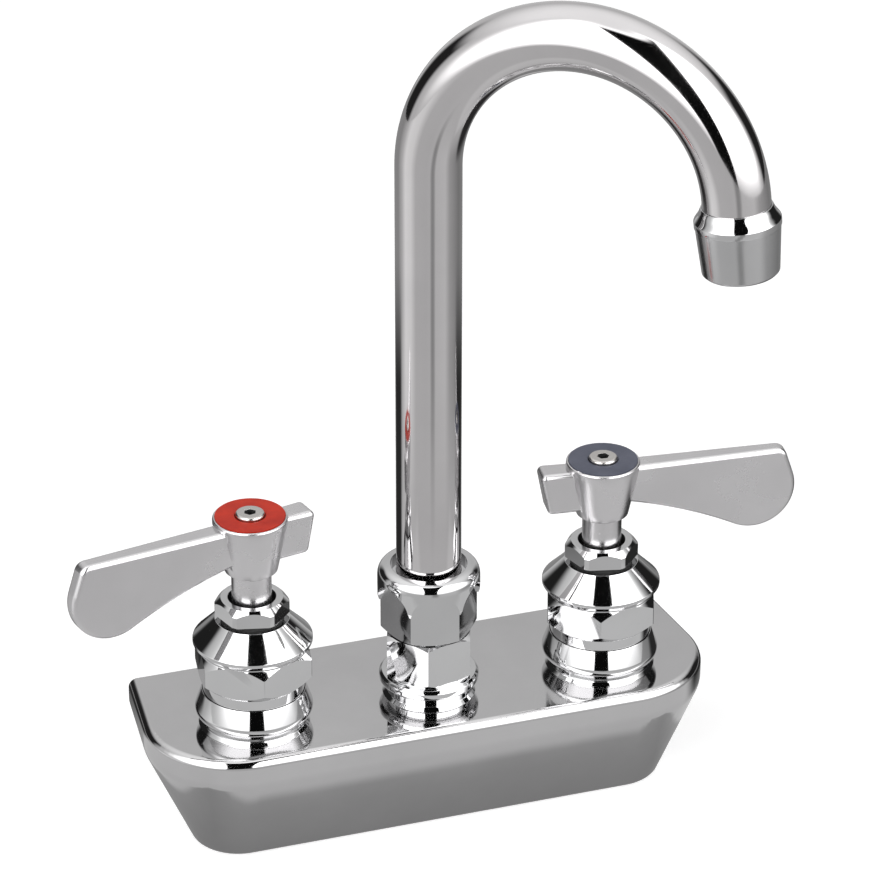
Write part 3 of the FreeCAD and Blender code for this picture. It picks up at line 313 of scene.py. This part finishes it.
def skin(node, material, edge):
    """A joined copy of a CAD node, its sharp edges softened by a width in metres, or kept where it is 0."""
    piece = bpy.data.objects.new(node + "_skin", nodes[node].data.copy())
    bpy.context.scene.collection.objects.link(piece)
    only(piece)
    bpy.ops.object.mode_set(mode="EDIT")
    bpy.ops.mesh.select_all(action="SELECT")
    bpy.ops.mesh.remove_doubles(threshold=JOIN_DISTANCE)
    bpy.ops.mesh.dissolve_limited(angle_limit=math.radians(FLAT_DEGREES))
    bpy.ops.mesh.select_all(action="DESELECT")
    bpy.ops.mesh.edges_select_sharp(sharpness=math.radians(SHARP_DEGREES))
    if edge:
        bpy.ops.mesh.bevel(offset=edge, segments=2, affect="EDGES", clamp_overlap=True)
    bpy.ops.object.mode_set(mode="OBJECT")
    bpy.ops.object.shade_smooth_by_angle(angle=math.radians(SHARP_DEGREES))
    finish_modifier(piece, "WEIGHTED_NORMAL", keep_sharp=True)
    stand_for(piece, node, material)
    print(piece.name, "has", len(piece.data.polygons), "faces")
    return piece


# %% The skins of the visible metal
casting = skin("body_casting", casting_chrome, 0.0)
skin("outlet_ferrule", mirror_chrome, 0.1 * MM)
skin("aerator_housing", outlet_chrome, 0.1 * MM)
screws = {}
for side in ("hot", "cold"):
    skin(side + "_lever", satin_chrome, 0.0)
    screws[side] = skin(side + "_handle_screw", stainless, 0.05 * MM)

# %% [markdown]
# ## Faces picked by place
# The next steps need some faces of a piece, known by where they are: between two radii about an upright
# axis, for example, and between two heights. Old selections are cleared first, in face mode, so that
# nothing else comes along.

# %% Picking faces, and giving them a finish of their own


def pick_faces(piece, belongs):
    """Selects the faces whose middle passes a test, and leaves the piece in edit mode."""
    only(piece)
    bpy.ops.object.mode_set(mode="EDIT")
    bpy.ops.mesh.select_mode(type="FACE")
    bpy.ops.mesh.select_all(action="DESELECT")
    bpy.ops.object.mode_set(mode="OBJECT")
    for face in piece.data.polygons:
        face.select = belongs(face.center)
    print(piece.name, "has", sum(face.select for face in piece.data.polygons), "faces picked")
    bpy.ops.object.mode_set(mode="EDIT")


def leave_edit_mode():
    bpy.ops.mesh.select_mode(type="VERT")
    bpy.ops.object.mode_set(mode="OBJECT")


def ring(axis, inner, outer, low, high):
    """The test for a place between two radii about an upright axis and between two heights."""
    def belongs(middle):
        spread = math.hypot(middle.x - axis.x, middle.y - axis.y)
        return inner <= spread <= outer and low <= middle.z <= high
    return belongs


def paint_faces(piece, material, belongs):
    """Gives one more finish to a piece, on the faces that pass a test."""
    if material.name not in piece.data.materials:
        piece.data.materials.append(material)
    piece.active_material_index = piece.data.materials.find(material.name)
    pick_faces(piece, belongs)
    bpy.ops.object.material_slot_assign()
    leave_edit_mode()


# %% The axes that the valves and the spout stand on
joint_places = {joint["name"]: Vector(joint["pos_m"]) for joint in frame["joints"]}
valve_axes = {side: joint_places[side + "_handle_turn"] for side in ("hot", "cold")}
spout_axis = joint_places["spout_swivel"]
print("axes at", {side: round(axis.x, 4) for side, axis in valve_axes.items()}, round(spout_axis.x, 4))

# %% [markdown]
# ## Towers turned afresh
# A crest with a small radius shows each triangle of a CAD mesh as a jagged light. The two towers under the
# valves and the post under the spout are therefore turned again in even rings, as on a lathe. A ring of
# points is drawn at the foot, and each next ring is extruded from it and scaled about the axis.

# %% The lathe
SMOOTH_DEGREES = 20.0
AROUND, ROUNDING_STEPS = 160, 8


def rounded(corners):
    """A profile through corners of (radius, height, rounding), each but the first and last made round."""
    points = [Vector(corners[0][:2])]
    for before, corner, after in zip(corners, corners[1:], corners[2:]):
        middle = Vector(corner[:2])
        if not corner[2]:
            points.append(middle)
            continue
        into, out_of = ((Vector(other[:2]) - middle).normalized() for other in (before, after))
        reach = corner[2] * math.tan((math.pi - into.angle(out_of)) / 2)
        for step in range(ROUNDING_STEPS + 1):
            share = step / ROUNDING_STEPS
            points.append(middle + into * reach * (1 - share) ** 2 + out_of * reach * share ** 2)
    return points + [Vector(corners[-1][:2])]


def turned(name, corners, axis, foot):
    """Turns a profile in millimetres about an upright axis, above a foot height in metres."""
    profile = [point * MM for point in rounded(corners)]
    bpy.ops.object.select_all(action="DESELECT")
    bpy.ops.mesh.primitive_circle_add(vertices=AROUND, radius=profile[0].x, fill_type="NOTHING",
                                      location=(axis.x, axis.y, foot + profile[0].y))
    piece = bpy.context.object
    piece.name = name
    bpy.ops.object.transform_apply(location=True, rotation=True, scale=True)
    bpy.ops.object.mode_set(mode="EDIT")
    bpy.ops.mesh.select_all(action="SELECT")
    for last, point in zip(profile, profile[1:]):
        bpy.ops.mesh.extrude_region_move(TRANSFORM_OT_translate={"value": (0, 0, point.y - last.y)})
        share = point.x / last.x
        bpy.ops.transform.resize(value=(share, share, 1), center_override=(axis.x, axis.y, foot + point.y))
    bpy.ops.mesh.select_all(action="SELECT")
    bpy.ops.mesh.remove_doubles(threshold=JOIN_DISTANCE)
    bpy.ops.mesh.normals_make_consistent(inside=False)
    bpy.ops.object.mode_set(mode="OBJECT")
    bpy.ops.object.shade_smooth_by_angle(angle=math.radians(SMOOTH_DEGREES))
    print(name, "has", len(piece.data.polygons), "faces")
    return piece


# %% Cutting the old walls off the casting and turning the new ones
TOWER_HEIGHT, POST_HEIGHT = 10.7, 3.6
TOWER_RADIUS, POST_RADIUS, FOOT, CREST_RADIUS = 14.4, 12.0, 1.0, 16.3
CREST_LOW, CREST_HIGH, CREST_ROUND, SOFT = 4.2, 5.4, 2.5, 0.2
UNDER_DECK = 0.3
WALL_MARGIN, END_MARGIN = 0.4 * MM, 0.01 * MM
deck_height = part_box("body_casting")[1].z - TOWER_HEIGHT * MM
tower_profile = [(TOWER_RADIUS + FOOT + UNDER_DECK, -UNDER_DECK, 0), (TOWER_RADIUS, FOOT, FOOT / 2),
                 (CREST_RADIUS, CREST_LOW, CREST_ROUND), (CREST_RADIUS, CREST_HIGH, CREST_ROUND),
                 (TOWER_RADIUS, TOWER_HEIGHT, SOFT), (TOWER_RADIUS - 1, TOWER_HEIGHT, 0)]
post_profile = [(POST_RADIUS + FOOT + UNDER_DECK, -UNDER_DECK, 0), (POST_RADIUS, FOOT, FOOT / 2),
                (POST_RADIUS, POST_HEIGHT, SOFT), (POST_RADIUS - 1, POST_HEIGHT, 0)]
stations = [("hot_tower_turned", valve_axes["hot"], tower_profile),
            ("cold_tower_turned", valve_axes["cold"], tower_profile),
            ("spout_post_turned", spout_axis, post_profile)]
for name, axis, profile in stations:
    wall, top = profile[1][0] * MM, profile[-2][1] * MM
    widest = max(corner[0] for corner in profile) * MM
    low, high = deck_height + END_MARGIN, deck_height + top - END_MARGIN
    pick_faces(casting, ring(axis, wall - WALL_MARGIN, widest, low, high))
    bpy.ops.mesh.delete(type="FACE")
    leave_edit_mode()
    stand_for(turned(name, profile, axis, deck_height), "body_casting", mirror_chrome)

# %% [markdown]
# ## Nuts and bonnets, turned and then milled
# Every piece with a hexagon on this faucet is first turned round and then gets its six flats from a cutter,
# and where a flat meets a round part it leaves the scalloped edge that such nuts have. The same two steps
# make them here. The cutter for the flats is a round block with a hexagonal hole. On the swivel nut, round
# cutters that point at the axis give each flat its round head.

# %% The two cutters
COS_30 = math.cos(math.radians(30))
TAN_30 = math.tan(math.radians(30))
BLOCK_SIDES, HEAD_SIDES = 48, 96


def cut_away(piece, cutter):
    finish_modifier(piece, "BOOLEAN", operation="DIFFERENCE", object=cutter, solver="EXACT")
    bpy.data.objects.remove(cutter)


def cylinder(sides, radius, depth, middle, rotation=(0, 0, 0)):
    bpy.ops.object.select_all(action="DESELECT")
    bpy.ops.mesh.primitive_cylinder_add(vertices=sides, radius=radius, depth=depth, location=middle,
                                        rotation=rotation)
    return bpy.context.object


def mill_hexagon(piece, axis, turn, flats, low, high):
    """Six flats so many millimetres across, between two heights in millimetres over the deck."""
    depth = (high - low) * MM
    middle = (axis.x, axis.y, deck_height + (low + high) / 2 * MM)
    block = cylinder(BLOCK_SIDES, flats * MM, depth, middle)
    hole = cylinder(6, flats / (2 * COS_30) * MM, depth * 2, middle, (0, 0, math.radians(turn + 30)))
    cut_away(block, hole)
    cut_away(piece, block)


def mill_heads(piece, axis, turn, flats, height):
    """A round head over each of six flats, by a cutter that lies at a height over the deck."""
    apothem, radius = flats / 2 * MM, flats / 2 * TAN_30 * MM
    for number in range(6):
        way = math.radians(turn + 30 + 60 * number)
        out = Vector((math.cos(way), math.sin(way), 0))
        centre = Vector((axis.x, axis.y, deck_height + height * MM)) + out * (apothem + radius)
        cut_away(piece, cylinder(HEAD_SIDES, radius, radius * 2, centre, (0, math.pi / 2, way)))


# %% Turning a piece, and joining it up after the milling


def turned_piece(node, corners, axis):
    """A turned piece in place of a CAD node; its profile starts and ends at a hidden inner corner."""
    piece = turned(node + "_turned", corners + [corners[0]], axis, deck_height)
    stand_for(piece, node, mirror_chrome)
    return piece


def shade_milled(piece):
    only(piece)
    bpy.ops.object.mode_set(mode="EDIT")
    bpy.ops.mesh.select_all(action="SELECT")
    bpy.ops.mesh.remove_doubles(threshold=JOIN_DISTANCE / 2)
    bpy.ops.object.mode_set(mode="OBJECT")
    bpy.ops.object.shade_smooth_by_angle(angle=math.radians(SMOOTH_DEGREES))
    print(piece.name, "after milling has", len(piece.data.polygons), "faces")


# %% Bonnets and packing nuts
BONNET_TOP, BAND_FOOT, BAND_TOP, WAIST = 32.7, 16.5, 21.6, 23.7
BONNET_FLATS, BONNET_TURN = 29.6, {"hot": 24.0, "cold": 10.0}
GLAND_FOOT, GLAND_TOP, GLAND_FLATS, GLAND_TURN = 33.9, 38.9, 18.4, -14.0
bonnet_profile = [(9.6, 2.3, 0), (11.6, 2.3, SOFT), (11.6, TOWER_HEIGHT, 0), (14.1, TOWER_HEIGHT, SOFT),
                  (14.1, 13.8, SOFT), (17.0, BAND_FOOT, SOFT), (17.0, BAND_TOP, SOFT), (14.9, WAIST, 0.4),
                  (16.5, 25.6, 0.4), (16.5, 26.5, 0.3), (10.3, BONNET_TOP, SOFT), (8.1, BONNET_TOP, 0),
                  (8.1, 23.5, 0), (9.6, 23.5, 0)]
gland_profile = [(4.4, 26.7, 0), (8.0, 26.7, 0), (8.0, BONNET_TOP, 0), (8.7, BONNET_TOP, 0),
                 (8.7, GLAND_FOOT, 0), (10.25, GLAND_FOOT, SOFT), (10.25, GLAND_TOP - 1.7, SOFT),
                 (8.55, GLAND_TOP, SOFT), (6.6, GLAND_TOP, SOFT), (6.6, GLAND_TOP - 3, 0),
                 (4.4, GLAND_TOP - 3, 0)]
packing_nuts = {}
for side, axis in valve_axes.items():
    bonnet = turned_piece(side + "_bonnet", bonnet_profile, axis)
    mill_hexagon(bonnet, axis, BONNET_TURN[side], BONNET_FLATS, low=10.0, high=WAIST)
    shade_milled(bonnet)
    packing_nuts[side] = turned_piece(side + "_packing_nut", gland_profile, axis)
    mill_hexagon(packing_nuts[side], axis, GLAND_TURN, GLAND_FLATS, low=33.0, high=40.0)
    shade_milled(packing_nuts[side])

# %% The adapter under the spout
ADAPTER_FLATS, ADAPTER_TURN = 23.0, 11.0
adapter_corner = ADAPTER_FLATS / (2 * COS_30)
adapter_profile = [(6.0, -3.0, 0), (9.0, -3.0, 0), (9.0, POST_HEIGHT, 0), (13.1, POST_HEIGHT, SOFT),
                   (13.9, 4.4, 0.6), (13.9, 6.0, 0.6), (13.1, 6.8, SOFT), (adapter_corner - 1.6, 6.8, SOFT),
                   (adapter_corner, 8.4, SOFT), (adapter_corner, 19.1, SOFT),
                   (adapter_corner - 1.6, 19.9, SOFT), (10.3, 19.9, 0), (10.3, 30.9, 0), (8.3, 30.9, 0),
                   (8.3, 14.4, 0), (6.0, 14.4, 0)]
adapter = turned_piece("spout_adapter", adapter_profile, spout_axis)
mill_hexagon(adapter, spout_axis, ADAPTER_TURN, ADAPTER_FLATS, low=6.81, high=20.5)
shade_milled(adapter)

# %% The swivel nut
NUT_FOOT, NUT_SPRING, NUT_LIP, NUT_TOP = 20.3, 29.9, 36.1, 40.3
NUT_FLATS, NUT_TURN = 23.4, -10.0
nut_corner = NUT_FLATS / (2 * COS_30)
nut_profile = [(10.4, NUT_FOOT, 0), (nut_corner - 2.2, NUT_FOOT, SOFT), (nut_corner, NUT_FOOT + 1.1, SOFT),
               (nut_corner, NUT_SPRING - 1.2, 1.0), (14.25, NUT_SPRING + 1.2, 1.0), (14.25, NUT_TOP, 3.5),
               (10.6, NUT_TOP, SOFT), (10.6, NUT_LIP + 2.2, 0), (9.1, NUT_LIP + 2.2, 0), (9.1, NUT_LIP, 0),
               (10.4, NUT_LIP, 0)]
swivel_nut = turned_piece("swivel_nut", nut_profile, spout_axis)
mill_hexagon(swivel_nut, spout_axis, NUT_TURN, NUT_FLATS, low=20.0, high=NUT_SPRING)
mill_heads(swivel_nut, spout_axis, NUT_TURN, NUT_FLATS, height=NUT_SPRING)
shade_milled(swivel_nut)

# %% [markdown]
# ## Painted shade in the gaps, and bare brass
# Narrow gaps lie in deep shadow, and old grease gathers in them. So the recess in which each lever's neck
# turns, the groove under each packing nut and the socket of each screw are painted a dull black: painted
# shade, which stands for that shadow together with the grease.

# %% Painting the gaps black, as painted shade
SOCKET_RADIUS, SOCKET_DEPTH = 1.9 * MM, 2.1 * MM
RECESS_RADIUS, RECESS_DEPTH = 6.7 * MM, 3.2 * MM
GROOVE_RADIUS = 8.8 * MM
RECESS_RIM, SOCKET_RIM = 0.25 * MM, 0.1 * MM
recess_top = deck_height + GLAND_TOP * MM - RECESS_RIM
groove_foot, groove_top = deck_height + BONNET_TOP * MM, deck_height + GLAND_FOOT * MM
for side, axis in valve_axes.items():
    socket_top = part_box(side + "_handle_screw")[1].z - SOCKET_RIM
    recess = ring(axis, 0, RECESS_RADIUS, recess_top - RECESS_DEPTH, recess_top)
    groove = ring(axis, 0, GROOVE_RADIUS, groove_foot, groove_top)
    socket = ring(axis, 0, SOCKET_RADIUS, socket_top - SOCKET_DEPTH, socket_top)
    # painted shade: the recess, the groove and the socket are painted black for the shadow in them
    paint_faces(packing_nuts[side], painted_shade_black, recess)
    paint_faces(packing_nuts[side], painted_shade_black, groove)
    paint_faces(screws[side], painted_shade_black, socket)

# %% [markdown]
# The plating ends at the mouth of each rear inlet, and the bore behind it is bare brass. Its faces are the
# ones of the casting that lie near the inlet's axis, which runs front to back, and within its depth.

# %% Bare brass in the inlets
BORE_MARGIN, BORE_DEPTH, MOUTH = 0.6 * MM, 20.5 * MM, 0.02 * MM
inlets = [mount for mount in frame["record"]["mounts"] if mount["name"].endswith("_inlet")]


def in_a_bore(middle):
    for inlet in inlets:
        spread = math.hypot(middle.x - inlet["pos_m"][0], middle.z - inlet["pos_m"][2])
        if spread < inlet["dims"]["r_mm"] * MM + BORE_MARGIN and -BORE_DEPTH < middle.y < -MOUTH:
            return True
    return False


paint_faces(casting, turned_brass, in_a_bore)

# %% [markdown]
# ## The bent tube
# The gooseneck is the largest mirror on the faucet, so it is drawn afresh with even quads. A ring of
# points is drawn up the riser, spun round the bend, and drawn out along the short straight end. The wall
# is then given its thickness, which shows at neither end, because one end is inside the nut and the
# other inside the outlet collar.

# %% The tube's sizes and its place
TUBE_RADIUS, WALL = 9.0 * MM, 1.0 * MM
BEND_RADIUS, BEND_ANGLE = 42.5 * MM, math.radians(174.5)
SPOUT_ANGLE = math.radians(40.0)
TAIL = 5.0 * MM
STEPS_UP, STEPS_ROUND, STEPS_DOWN = 24, 120, 3
tube_low, tube_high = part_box("gooseneck_tube")
bend_start = tube_high.z - BEND_RADIUS - TUBE_RADIUS
along = Vector((math.cos(SPOUT_ANGLE), -math.sin(SPOUT_ANGLE), 0))
across = Vector((-math.sin(SPOUT_ANGLE), -math.cos(SPOUT_ANGLE), 0))
print("bend starts at height", round(bend_start, 4))

# %% Drawing the riser and spinning the bend
bpy.ops.object.select_all(action="DESELECT")
bpy.ops.mesh.primitive_circle_add(vertices=96, radius=TUBE_RADIUS, fill_type="NOTHING",
                                  location=(spout_axis.x, spout_axis.y, tube_low.z))
tube = bpy.context.object
tube.name = "gooseneck_tube_smooth"
bpy.ops.object.transform_apply(location=True, rotation=True, scale=True)
bpy.ops.object.mode_set(mode="EDIT")
bpy.ops.mesh.select_all(action="SELECT")
rise = (bend_start - tube_low.z) / STEPS_UP
for step in range(STEPS_UP):
    bpy.ops.mesh.extrude_region_move(TRANSFORM_OT_translate={"value": (0, 0, rise)})
centre = Vector((spout_axis.x, spout_axis.y, bend_start)) + along * BEND_RADIUS
bpy.ops.mesh.spin(steps=STEPS_ROUND, angle=BEND_ANGLE, center=centre, axis=across, dupli=False)

# %% The straight end, the wall and the finish
tail_direction = along * math.sin(BEND_ANGLE) + Vector((0, 0, math.cos(BEND_ANGLE)))
for step in range(STEPS_DOWN):
    bpy.ops.mesh.extrude_region_move(TRANSFORM_OT_translate={"value": tail_direction * (TAIL / STEPS_DOWN)})
bpy.ops.mesh.select_all(action="SELECT")
bpy.ops.mesh.remove_doubles(threshold=JOIN_DISTANCE)
bpy.ops.mesh.normals_make_consistent(inside=False)
bpy.ops.object.mode_set(mode="OBJECT")
finish_modifier(tube, "SOLIDIFY", thickness=WALL, offset=-1.0)
bpy.ops.object.shade_smooth_by_angle(angle=math.radians(SMOOTH_DEGREES))
stand_for(tube, "gooseneck_tube", tube_chrome)
print(tube.name, "has", len(tube.data.polygons), "faces")

# %% [markdown]
# `spin` may turn either way, so the tube's box is set beside that of the CAD solid.

# %% Comparing the tube with its solid
print("tube box", [round(v, 4) for v in tube.bound_box[0]], [round(v, 4) for v in tube.bound_box[6]])
print("solid box", [round(v, 4) for v in tube_low], [round(v, 4) for v in tube_high])

# %% [markdown]
# ## Finishes for the pieces that keep their CAD form
# Seals, discs and rings are either hidden or so plain that their solids already serve. Each takes its
# finish from the slot that the record gives it.

# %% Painting by slot
BY_SLOT = {
    "black_rubber": black_rubber, "ceramic_disc": lapped_ceramic, "seal_plastic": seal_plastic,
    "turned_brass": turned_brass, "satin_chrome": satin_chrome, "stainless": stainless,
    "index_red": red_enamel, "index_blue": blue_enamel, "white_plastic": white_plastic,
    "outlet_chrome": outlet_chrome, "casting_chrome": casting_chrome, "polished_chrome": mirror_chrome,
}
for entry in frame["record"]["subparts"]:
    paint(nodes[entry["node"]], BY_SLOT[entry["material_slot"]])
print("painted", len(frame["record"]["subparts"]), "solids")

# %% [markdown]
# ## The camera
# The photograph looks down on the faucet from the left front with a long lens. The camera stands well
# back, so the two valves keep almost the same size.

# %% Setting the camera up
CAMERA_AZIMUTH, CAMERA_ELEVATION = math.radians(-18.56), math.radians(27.6)
CAMERA_DISTANCE = 1200 * MM
CAMERA_TARGET = Vector((2.15, -30.0, 99.51)) * MM
FRAME_PIXELS, FOCAL_PIXELS = 869, 4416
NEAREST, FURTHEST = 0.05, 20.0


def direction(azimuth, elevation):
    """A step of one metre towards an azimuth, which is 0 straight ahead of the wall, and an elevation."""
    return Vector((math.sin(azimuth) * math.cos(elevation), -math.cos(azimuth) * math.cos(elevation),
                   math.sin(elevation)))


toward_camera = direction(CAMERA_AZIMUTH, CAMERA_ELEVATION)
camera_data = bpy.data.cameras.new("camera")
camera = bpy.data.objects.new("camera", camera_data)
bpy.context.scene.collection.objects.link(camera)
camera.location = CAMERA_TARGET + toward_camera * CAMERA_DISTANCE
camera.rotation_mode = "QUATERNION"
camera.rotation_quaternion = (-toward_camera).to_track_quat("-Z", "Y")
camera_data.sensor_width = 36.0
camera_data.lens = camera_data.sensor_width * FOCAL_PIXELS / FRAME_PIXELS
camera_data.clip_start, camera_data.clip_end = NEAREST, FURTHEST
bpy.context.scene.camera = camera
print("lens", round(camera_data.lens, 1), "mm")

# %% [markdown]
# ## A studio for chrome
# Chrome has no look of its own: it shows the room. A studio for it needs four things. Large white panels
# left and right of the camera give the bright zones. The gap between them is the black stripe down the
# front of each valve. A mid-grey backdrop is what the deck shows, and dark sides draw the outlines. The
# floor is a white page, with a grey sheet that only the metal sees, since upright metal looks down at it.

# %% The floor
FLOOR_WIDTH, FLOOR_GLOW = 9.0, 0.52
floor_height = cad_box[0].z


def floor_material():
    """White, and partly its own light, so that it reads as a white page and still takes a shadow."""
    finish = Finish("studio_floor")
    colour = finish.greys(finish.noise(3.0), [(0.3, 0.80), (0.7, 0.82)])
    surface = finish.node("ShaderNodeBsdfDiffuse", {}, {"Color": colour})["BSDF"]
    glow = finish.glow(finish.seen() * FLOOR_GLOW)
    return finish.done(finish.node("ShaderNodeAddShader", {}, {0: surface, 1: glow})["Shader"])


bpy.ops.object.select_all(action="DESELECT")
bpy.ops.mesh.primitive_plane_add(size=FLOOR_WIDTH, location=(0, 0, floor_height))
floor = bpy.context.object
floor.name = "floor"
paint(floor, floor_material())
print("floor at", round(floor_height, 4))

# %% [markdown]
# ## A dome painted with light
# The panels, the gap, the backdrop and the dark sides are painted on the inside of one large dome that
# only reflections see. A place on it is given by its heading, in degrees to the right of the camera, by
# its height, the sine of its elevation, and for the gap by how far across it lies. Soft steps of these
# numbers make the zones: each runs between the two numbers that stand last in its call. The dome is only a
# little over a metre in radius, so each valve sees the black gap from its own side.

# %% Heading and height as signals
STUDIO_CENTRE = Vector((0, spout_axis.y, floor_height))


def place_in_studio(finish):
    """The heading in degrees, the way across and the height as shares of the distance, and the distance."""
    from_centre = finish.node("ShaderNodeVectorMath", {"operation": "SUBTRACT"},
                              {0: finish.place_on_piece(), 1: STUDIO_CENTRE})["Vector"]
    faced = finish.node("ShaderNodeVectorRotate", {"rotation_type": "Z_AXIS"},
                        {"Vector": from_centre, "Angle": -CAMERA_AZIMUTH})["Vector"]
    parts = finish.node("ShaderNodeSeparateXYZ", {}, {0: faced})
    heading = finish.maths("ARCTAN2", parts["X"], parts["Y"] * -1.0) * (180 / math.pi)
    distance = finish.node("ShaderNodeVectorMath", {"operation": "LENGTH"}, {0: faced})["Value"]
    across = finish.maths("DIVIDE", parts["X"], distance)
    height = finish.maths("DIVIDE", parts["Z"], distance)
    return heading, across, height, distance


def reflections_only(piece):
    """Leaves a stage piece to mirrors alone, so that it neither lights nor hides anything else."""
    piece.visible_camera = False
    piece.visible_diffuse = False
    piece.visible_shadow = False
    piece.visible_transmission = False
    piece.visible_volume_scatter = False


# %% The dome's zones
PANEL_BRIGHTNESS, PANEL_FAR_LEFT, SIDE_TONE, GAP_TONE = 4.2, 1.0, 0.02, 0.004
GAP_ACROSS, GAP_HALF_WIDTH = 0.075, 0.24


def dome_material():
    finish = Finish("studio_dome")
    heading, across, height, _ = place_in_studio(finish)
    away = finish.size_of(heading)
    cloud = finish.noise(2.4) - 0.5
    backdrop = finish.step(height, 0.48, 0.95) * 0.60 + 0.64 + cloud * 0.06
    beside = finish.step(away, 98, 110) * (1 - finish.step(away, 138, 156))
    sides = beside * (1 - finish.step(height, 0.46, 0.64))
    over_floor = finish.step(height, -0.08, 0.44) * (1 - finish.step(height, 0.95, 0.997))
    panels = (1 - finish.step(away, 78, 102)) * over_floor
    falloff = finish.step(heading * -1.0, 44, 92)
    brightness = PANEL_BRIGHTNESS - falloff * (PANEL_BRIGHTNESS - PANEL_FAR_LEFT)
    gap_side = finish.size_of(across - GAP_ACROSS)
    narrow = 1 - finish.step(gap_side, GAP_HALF_WIDTH - 0.025, GAP_HALF_WIDTH + 0.01)
    gap = narrow * (1 - finish.step(away, 80, 90)) * (1 - finish.step(height, 0.955, 0.985))
    tone = finish.blend(backdrop, SIDE_TONE, sides)
    tone = finish.blend(tone, brightness, panels)
    tone = finish.blend(tone, GAP_TONE, gap)
    return finish.done(finish.glow(tone))


# %% The dome
DOME_RADIUS = 1.1
bpy.ops.object.select_all(action="DESELECT")
bpy.ops.mesh.primitive_uv_sphere_add(segments=64, ring_count=32, radius=DOME_RADIUS, location=STUDIO_CENTRE)
dome = bpy.context.object
dome.name = "dome"
bpy.ops.object.transform_apply(location=True, rotation=True, scale=True)
bpy.ops.object.mode_set(mode="EDIT")
bpy.ops.mesh.select_all(action="SELECT")
bpy.ops.mesh.bisect(plane_co=STUDIO_CENTRE, plane_no=(0, 0, 1), clear_inner=True)
bpy.ops.object.mode_set(mode="OBJECT")
paint(dome, dome_material())
reflections_only(dome)
print("dome of", len(dome.data.polygons), "faces")

# %% [markdown]
# The sheet on the floor is dark under the casting's overhang, as its shadow is, then light, then grey. The
# leaning front of the casting sees the shadow, and the lip above it sees the light part. Further out the
# sheet has strips of lighter and darker card that run away from the spout, and these are the soft lines
# that climb the riser of the gooseneck. Two dark patches to the left and right, beside and behind the
# faucet, help the dome's dark sides to draw the outlines.

# %% The sheet's tones
BODY_END, NEAR_REACH = 59 * MM, 200 * MM
NEAR = [(0.05, 0.30), (0.11, 0.36), (0.130, 0.40), (0.142, 0.64), (0.30, 0.70), (0.44, 0.72), (0.55, 0.61),
        (1, 0.62)]
STRIPS = [(-180, 0.30), (-122, 0.34), (-100, 0.62), (-84, 1.0), (-62, 0.92), (-44, 0.62), (-8, 0.60),
          (4, 0.62), (11, 0.34), (17, 0.36), (24, 0.66), (58, 0.70), (76, 0.46), (120, 0.26), (180, 0.30)]
STRIPS_FROM, STRIPS_FULL = 0.14, 0.30
SHADE_TONE = 0.03


def sheet_material():
    finish = Finish("studio_sheet")
    heading, _, _, distance = place_in_studio(finish)
    stops = [((degrees + 180) / 360, tone) for degrees, tone in STRIPS]
    strips = finish.greys((heading + 180) * (1 / 360), stops)
    place = finish.node("ShaderNodeSeparateXYZ", {}, {0: finish.place_on_piece()})
    beside = finish.size_of(place["X"]) - BODY_END
    off = finish.maths("MAXIMUM", beside, STUDIO_CENTRE.y - place["Y"]) * (1 / NEAR_REACH)
    plain = finish.greys(off, NEAR)
    away = finish.size_of(heading)
    shade = finish.step(away, 100, 114) * (1 - finish.step(away, 148, 165))
    shade = shade * finish.step(distance, 0.09, 0.13) * (1 - finish.step(distance, 0.26, 0.38))
    tone = finish.blend(plain, strips, finish.step(distance, STRIPS_FROM, STRIPS_FULL))
    tone = finish.blend(tone, SHADE_TONE, shade)
    return finish.done(finish.glow(tone))


# %% The sheet
SHEET_LIFT = 0.4 * MM
bpy.ops.object.select_all(action="DESELECT")
bpy.ops.mesh.primitive_circle_add(vertices=96, radius=DOME_RADIUS, fill_type="NGON",
                                  location=STUDIO_CENTRE + Vector((0, 0, SHEET_LIFT)))
sheet = bpy.context.object
sheet.name = "sheet"
bpy.ops.object.transform_apply(location=True, rotation=True, scale=True)
paint(sheet, sheet_material())
reflections_only(sheet)
print("sheet", round(2 * DOME_RADIUS, 2), "m across")

# %% [markdown]
# Dull surfaces, such as the enamel and the rubber, are lit by two soft lamps and by the world, at a level
# at which a colour comes out about as it was written. The lamps are left out of the reflections, where the
# dome already stands for them.

# %% The lamps
LAMP_WIDTH, LAMP_DISTANCE = 1.4, 1.3


def lamp(name, heading, elevation, brightness):
    """A square soft lamp that faces the faucet, at a heading in degrees to the right of the camera's."""
    light = bpy.data.lights.new(name, "AREA")
    light.shape = "SQUARE"
    light.size = LAMP_WIDTH
    light.energy = brightness * math.pi * LAMP_WIDTH ** 2
    holder = bpy.data.objects.new(name, light)
    bpy.context.scene.collection.objects.link(holder)
    way = direction(CAMERA_AZIMUTH + math.radians(heading), math.radians(elevation))
    holder.location = STUDIO_CENTRE + way * LAMP_DISTANCE
    holder.rotation_mode = "QUATERNION"
    holder.rotation_quaternion = way.to_track_quat("Z", "Y")
    holder.visible_camera = False
    holder.visible_glossy = False
    print(name, "gives", round(light.energy, 2), "watts")


lamp("lamp_left", -50, 42, 1.4)
lamp("lamp_right", 55, 36, 1.1)

# %% The world
WORLD_GLOW = 0.4
surround = Finish("surround", bpy.data.worlds.new("surround"))
strength = surround.seen() * (1 - WORLD_GLOW) + WORLD_GLOW
white = surround.node("ShaderNodeBackground", {}, {"Color": (1, 1, 1, 1), "Strength": strength})["Background"]
surround.node("ShaderNodeOutputWorld", {}, {"Surface": white})
bpy.context.scene.world = surround.owner
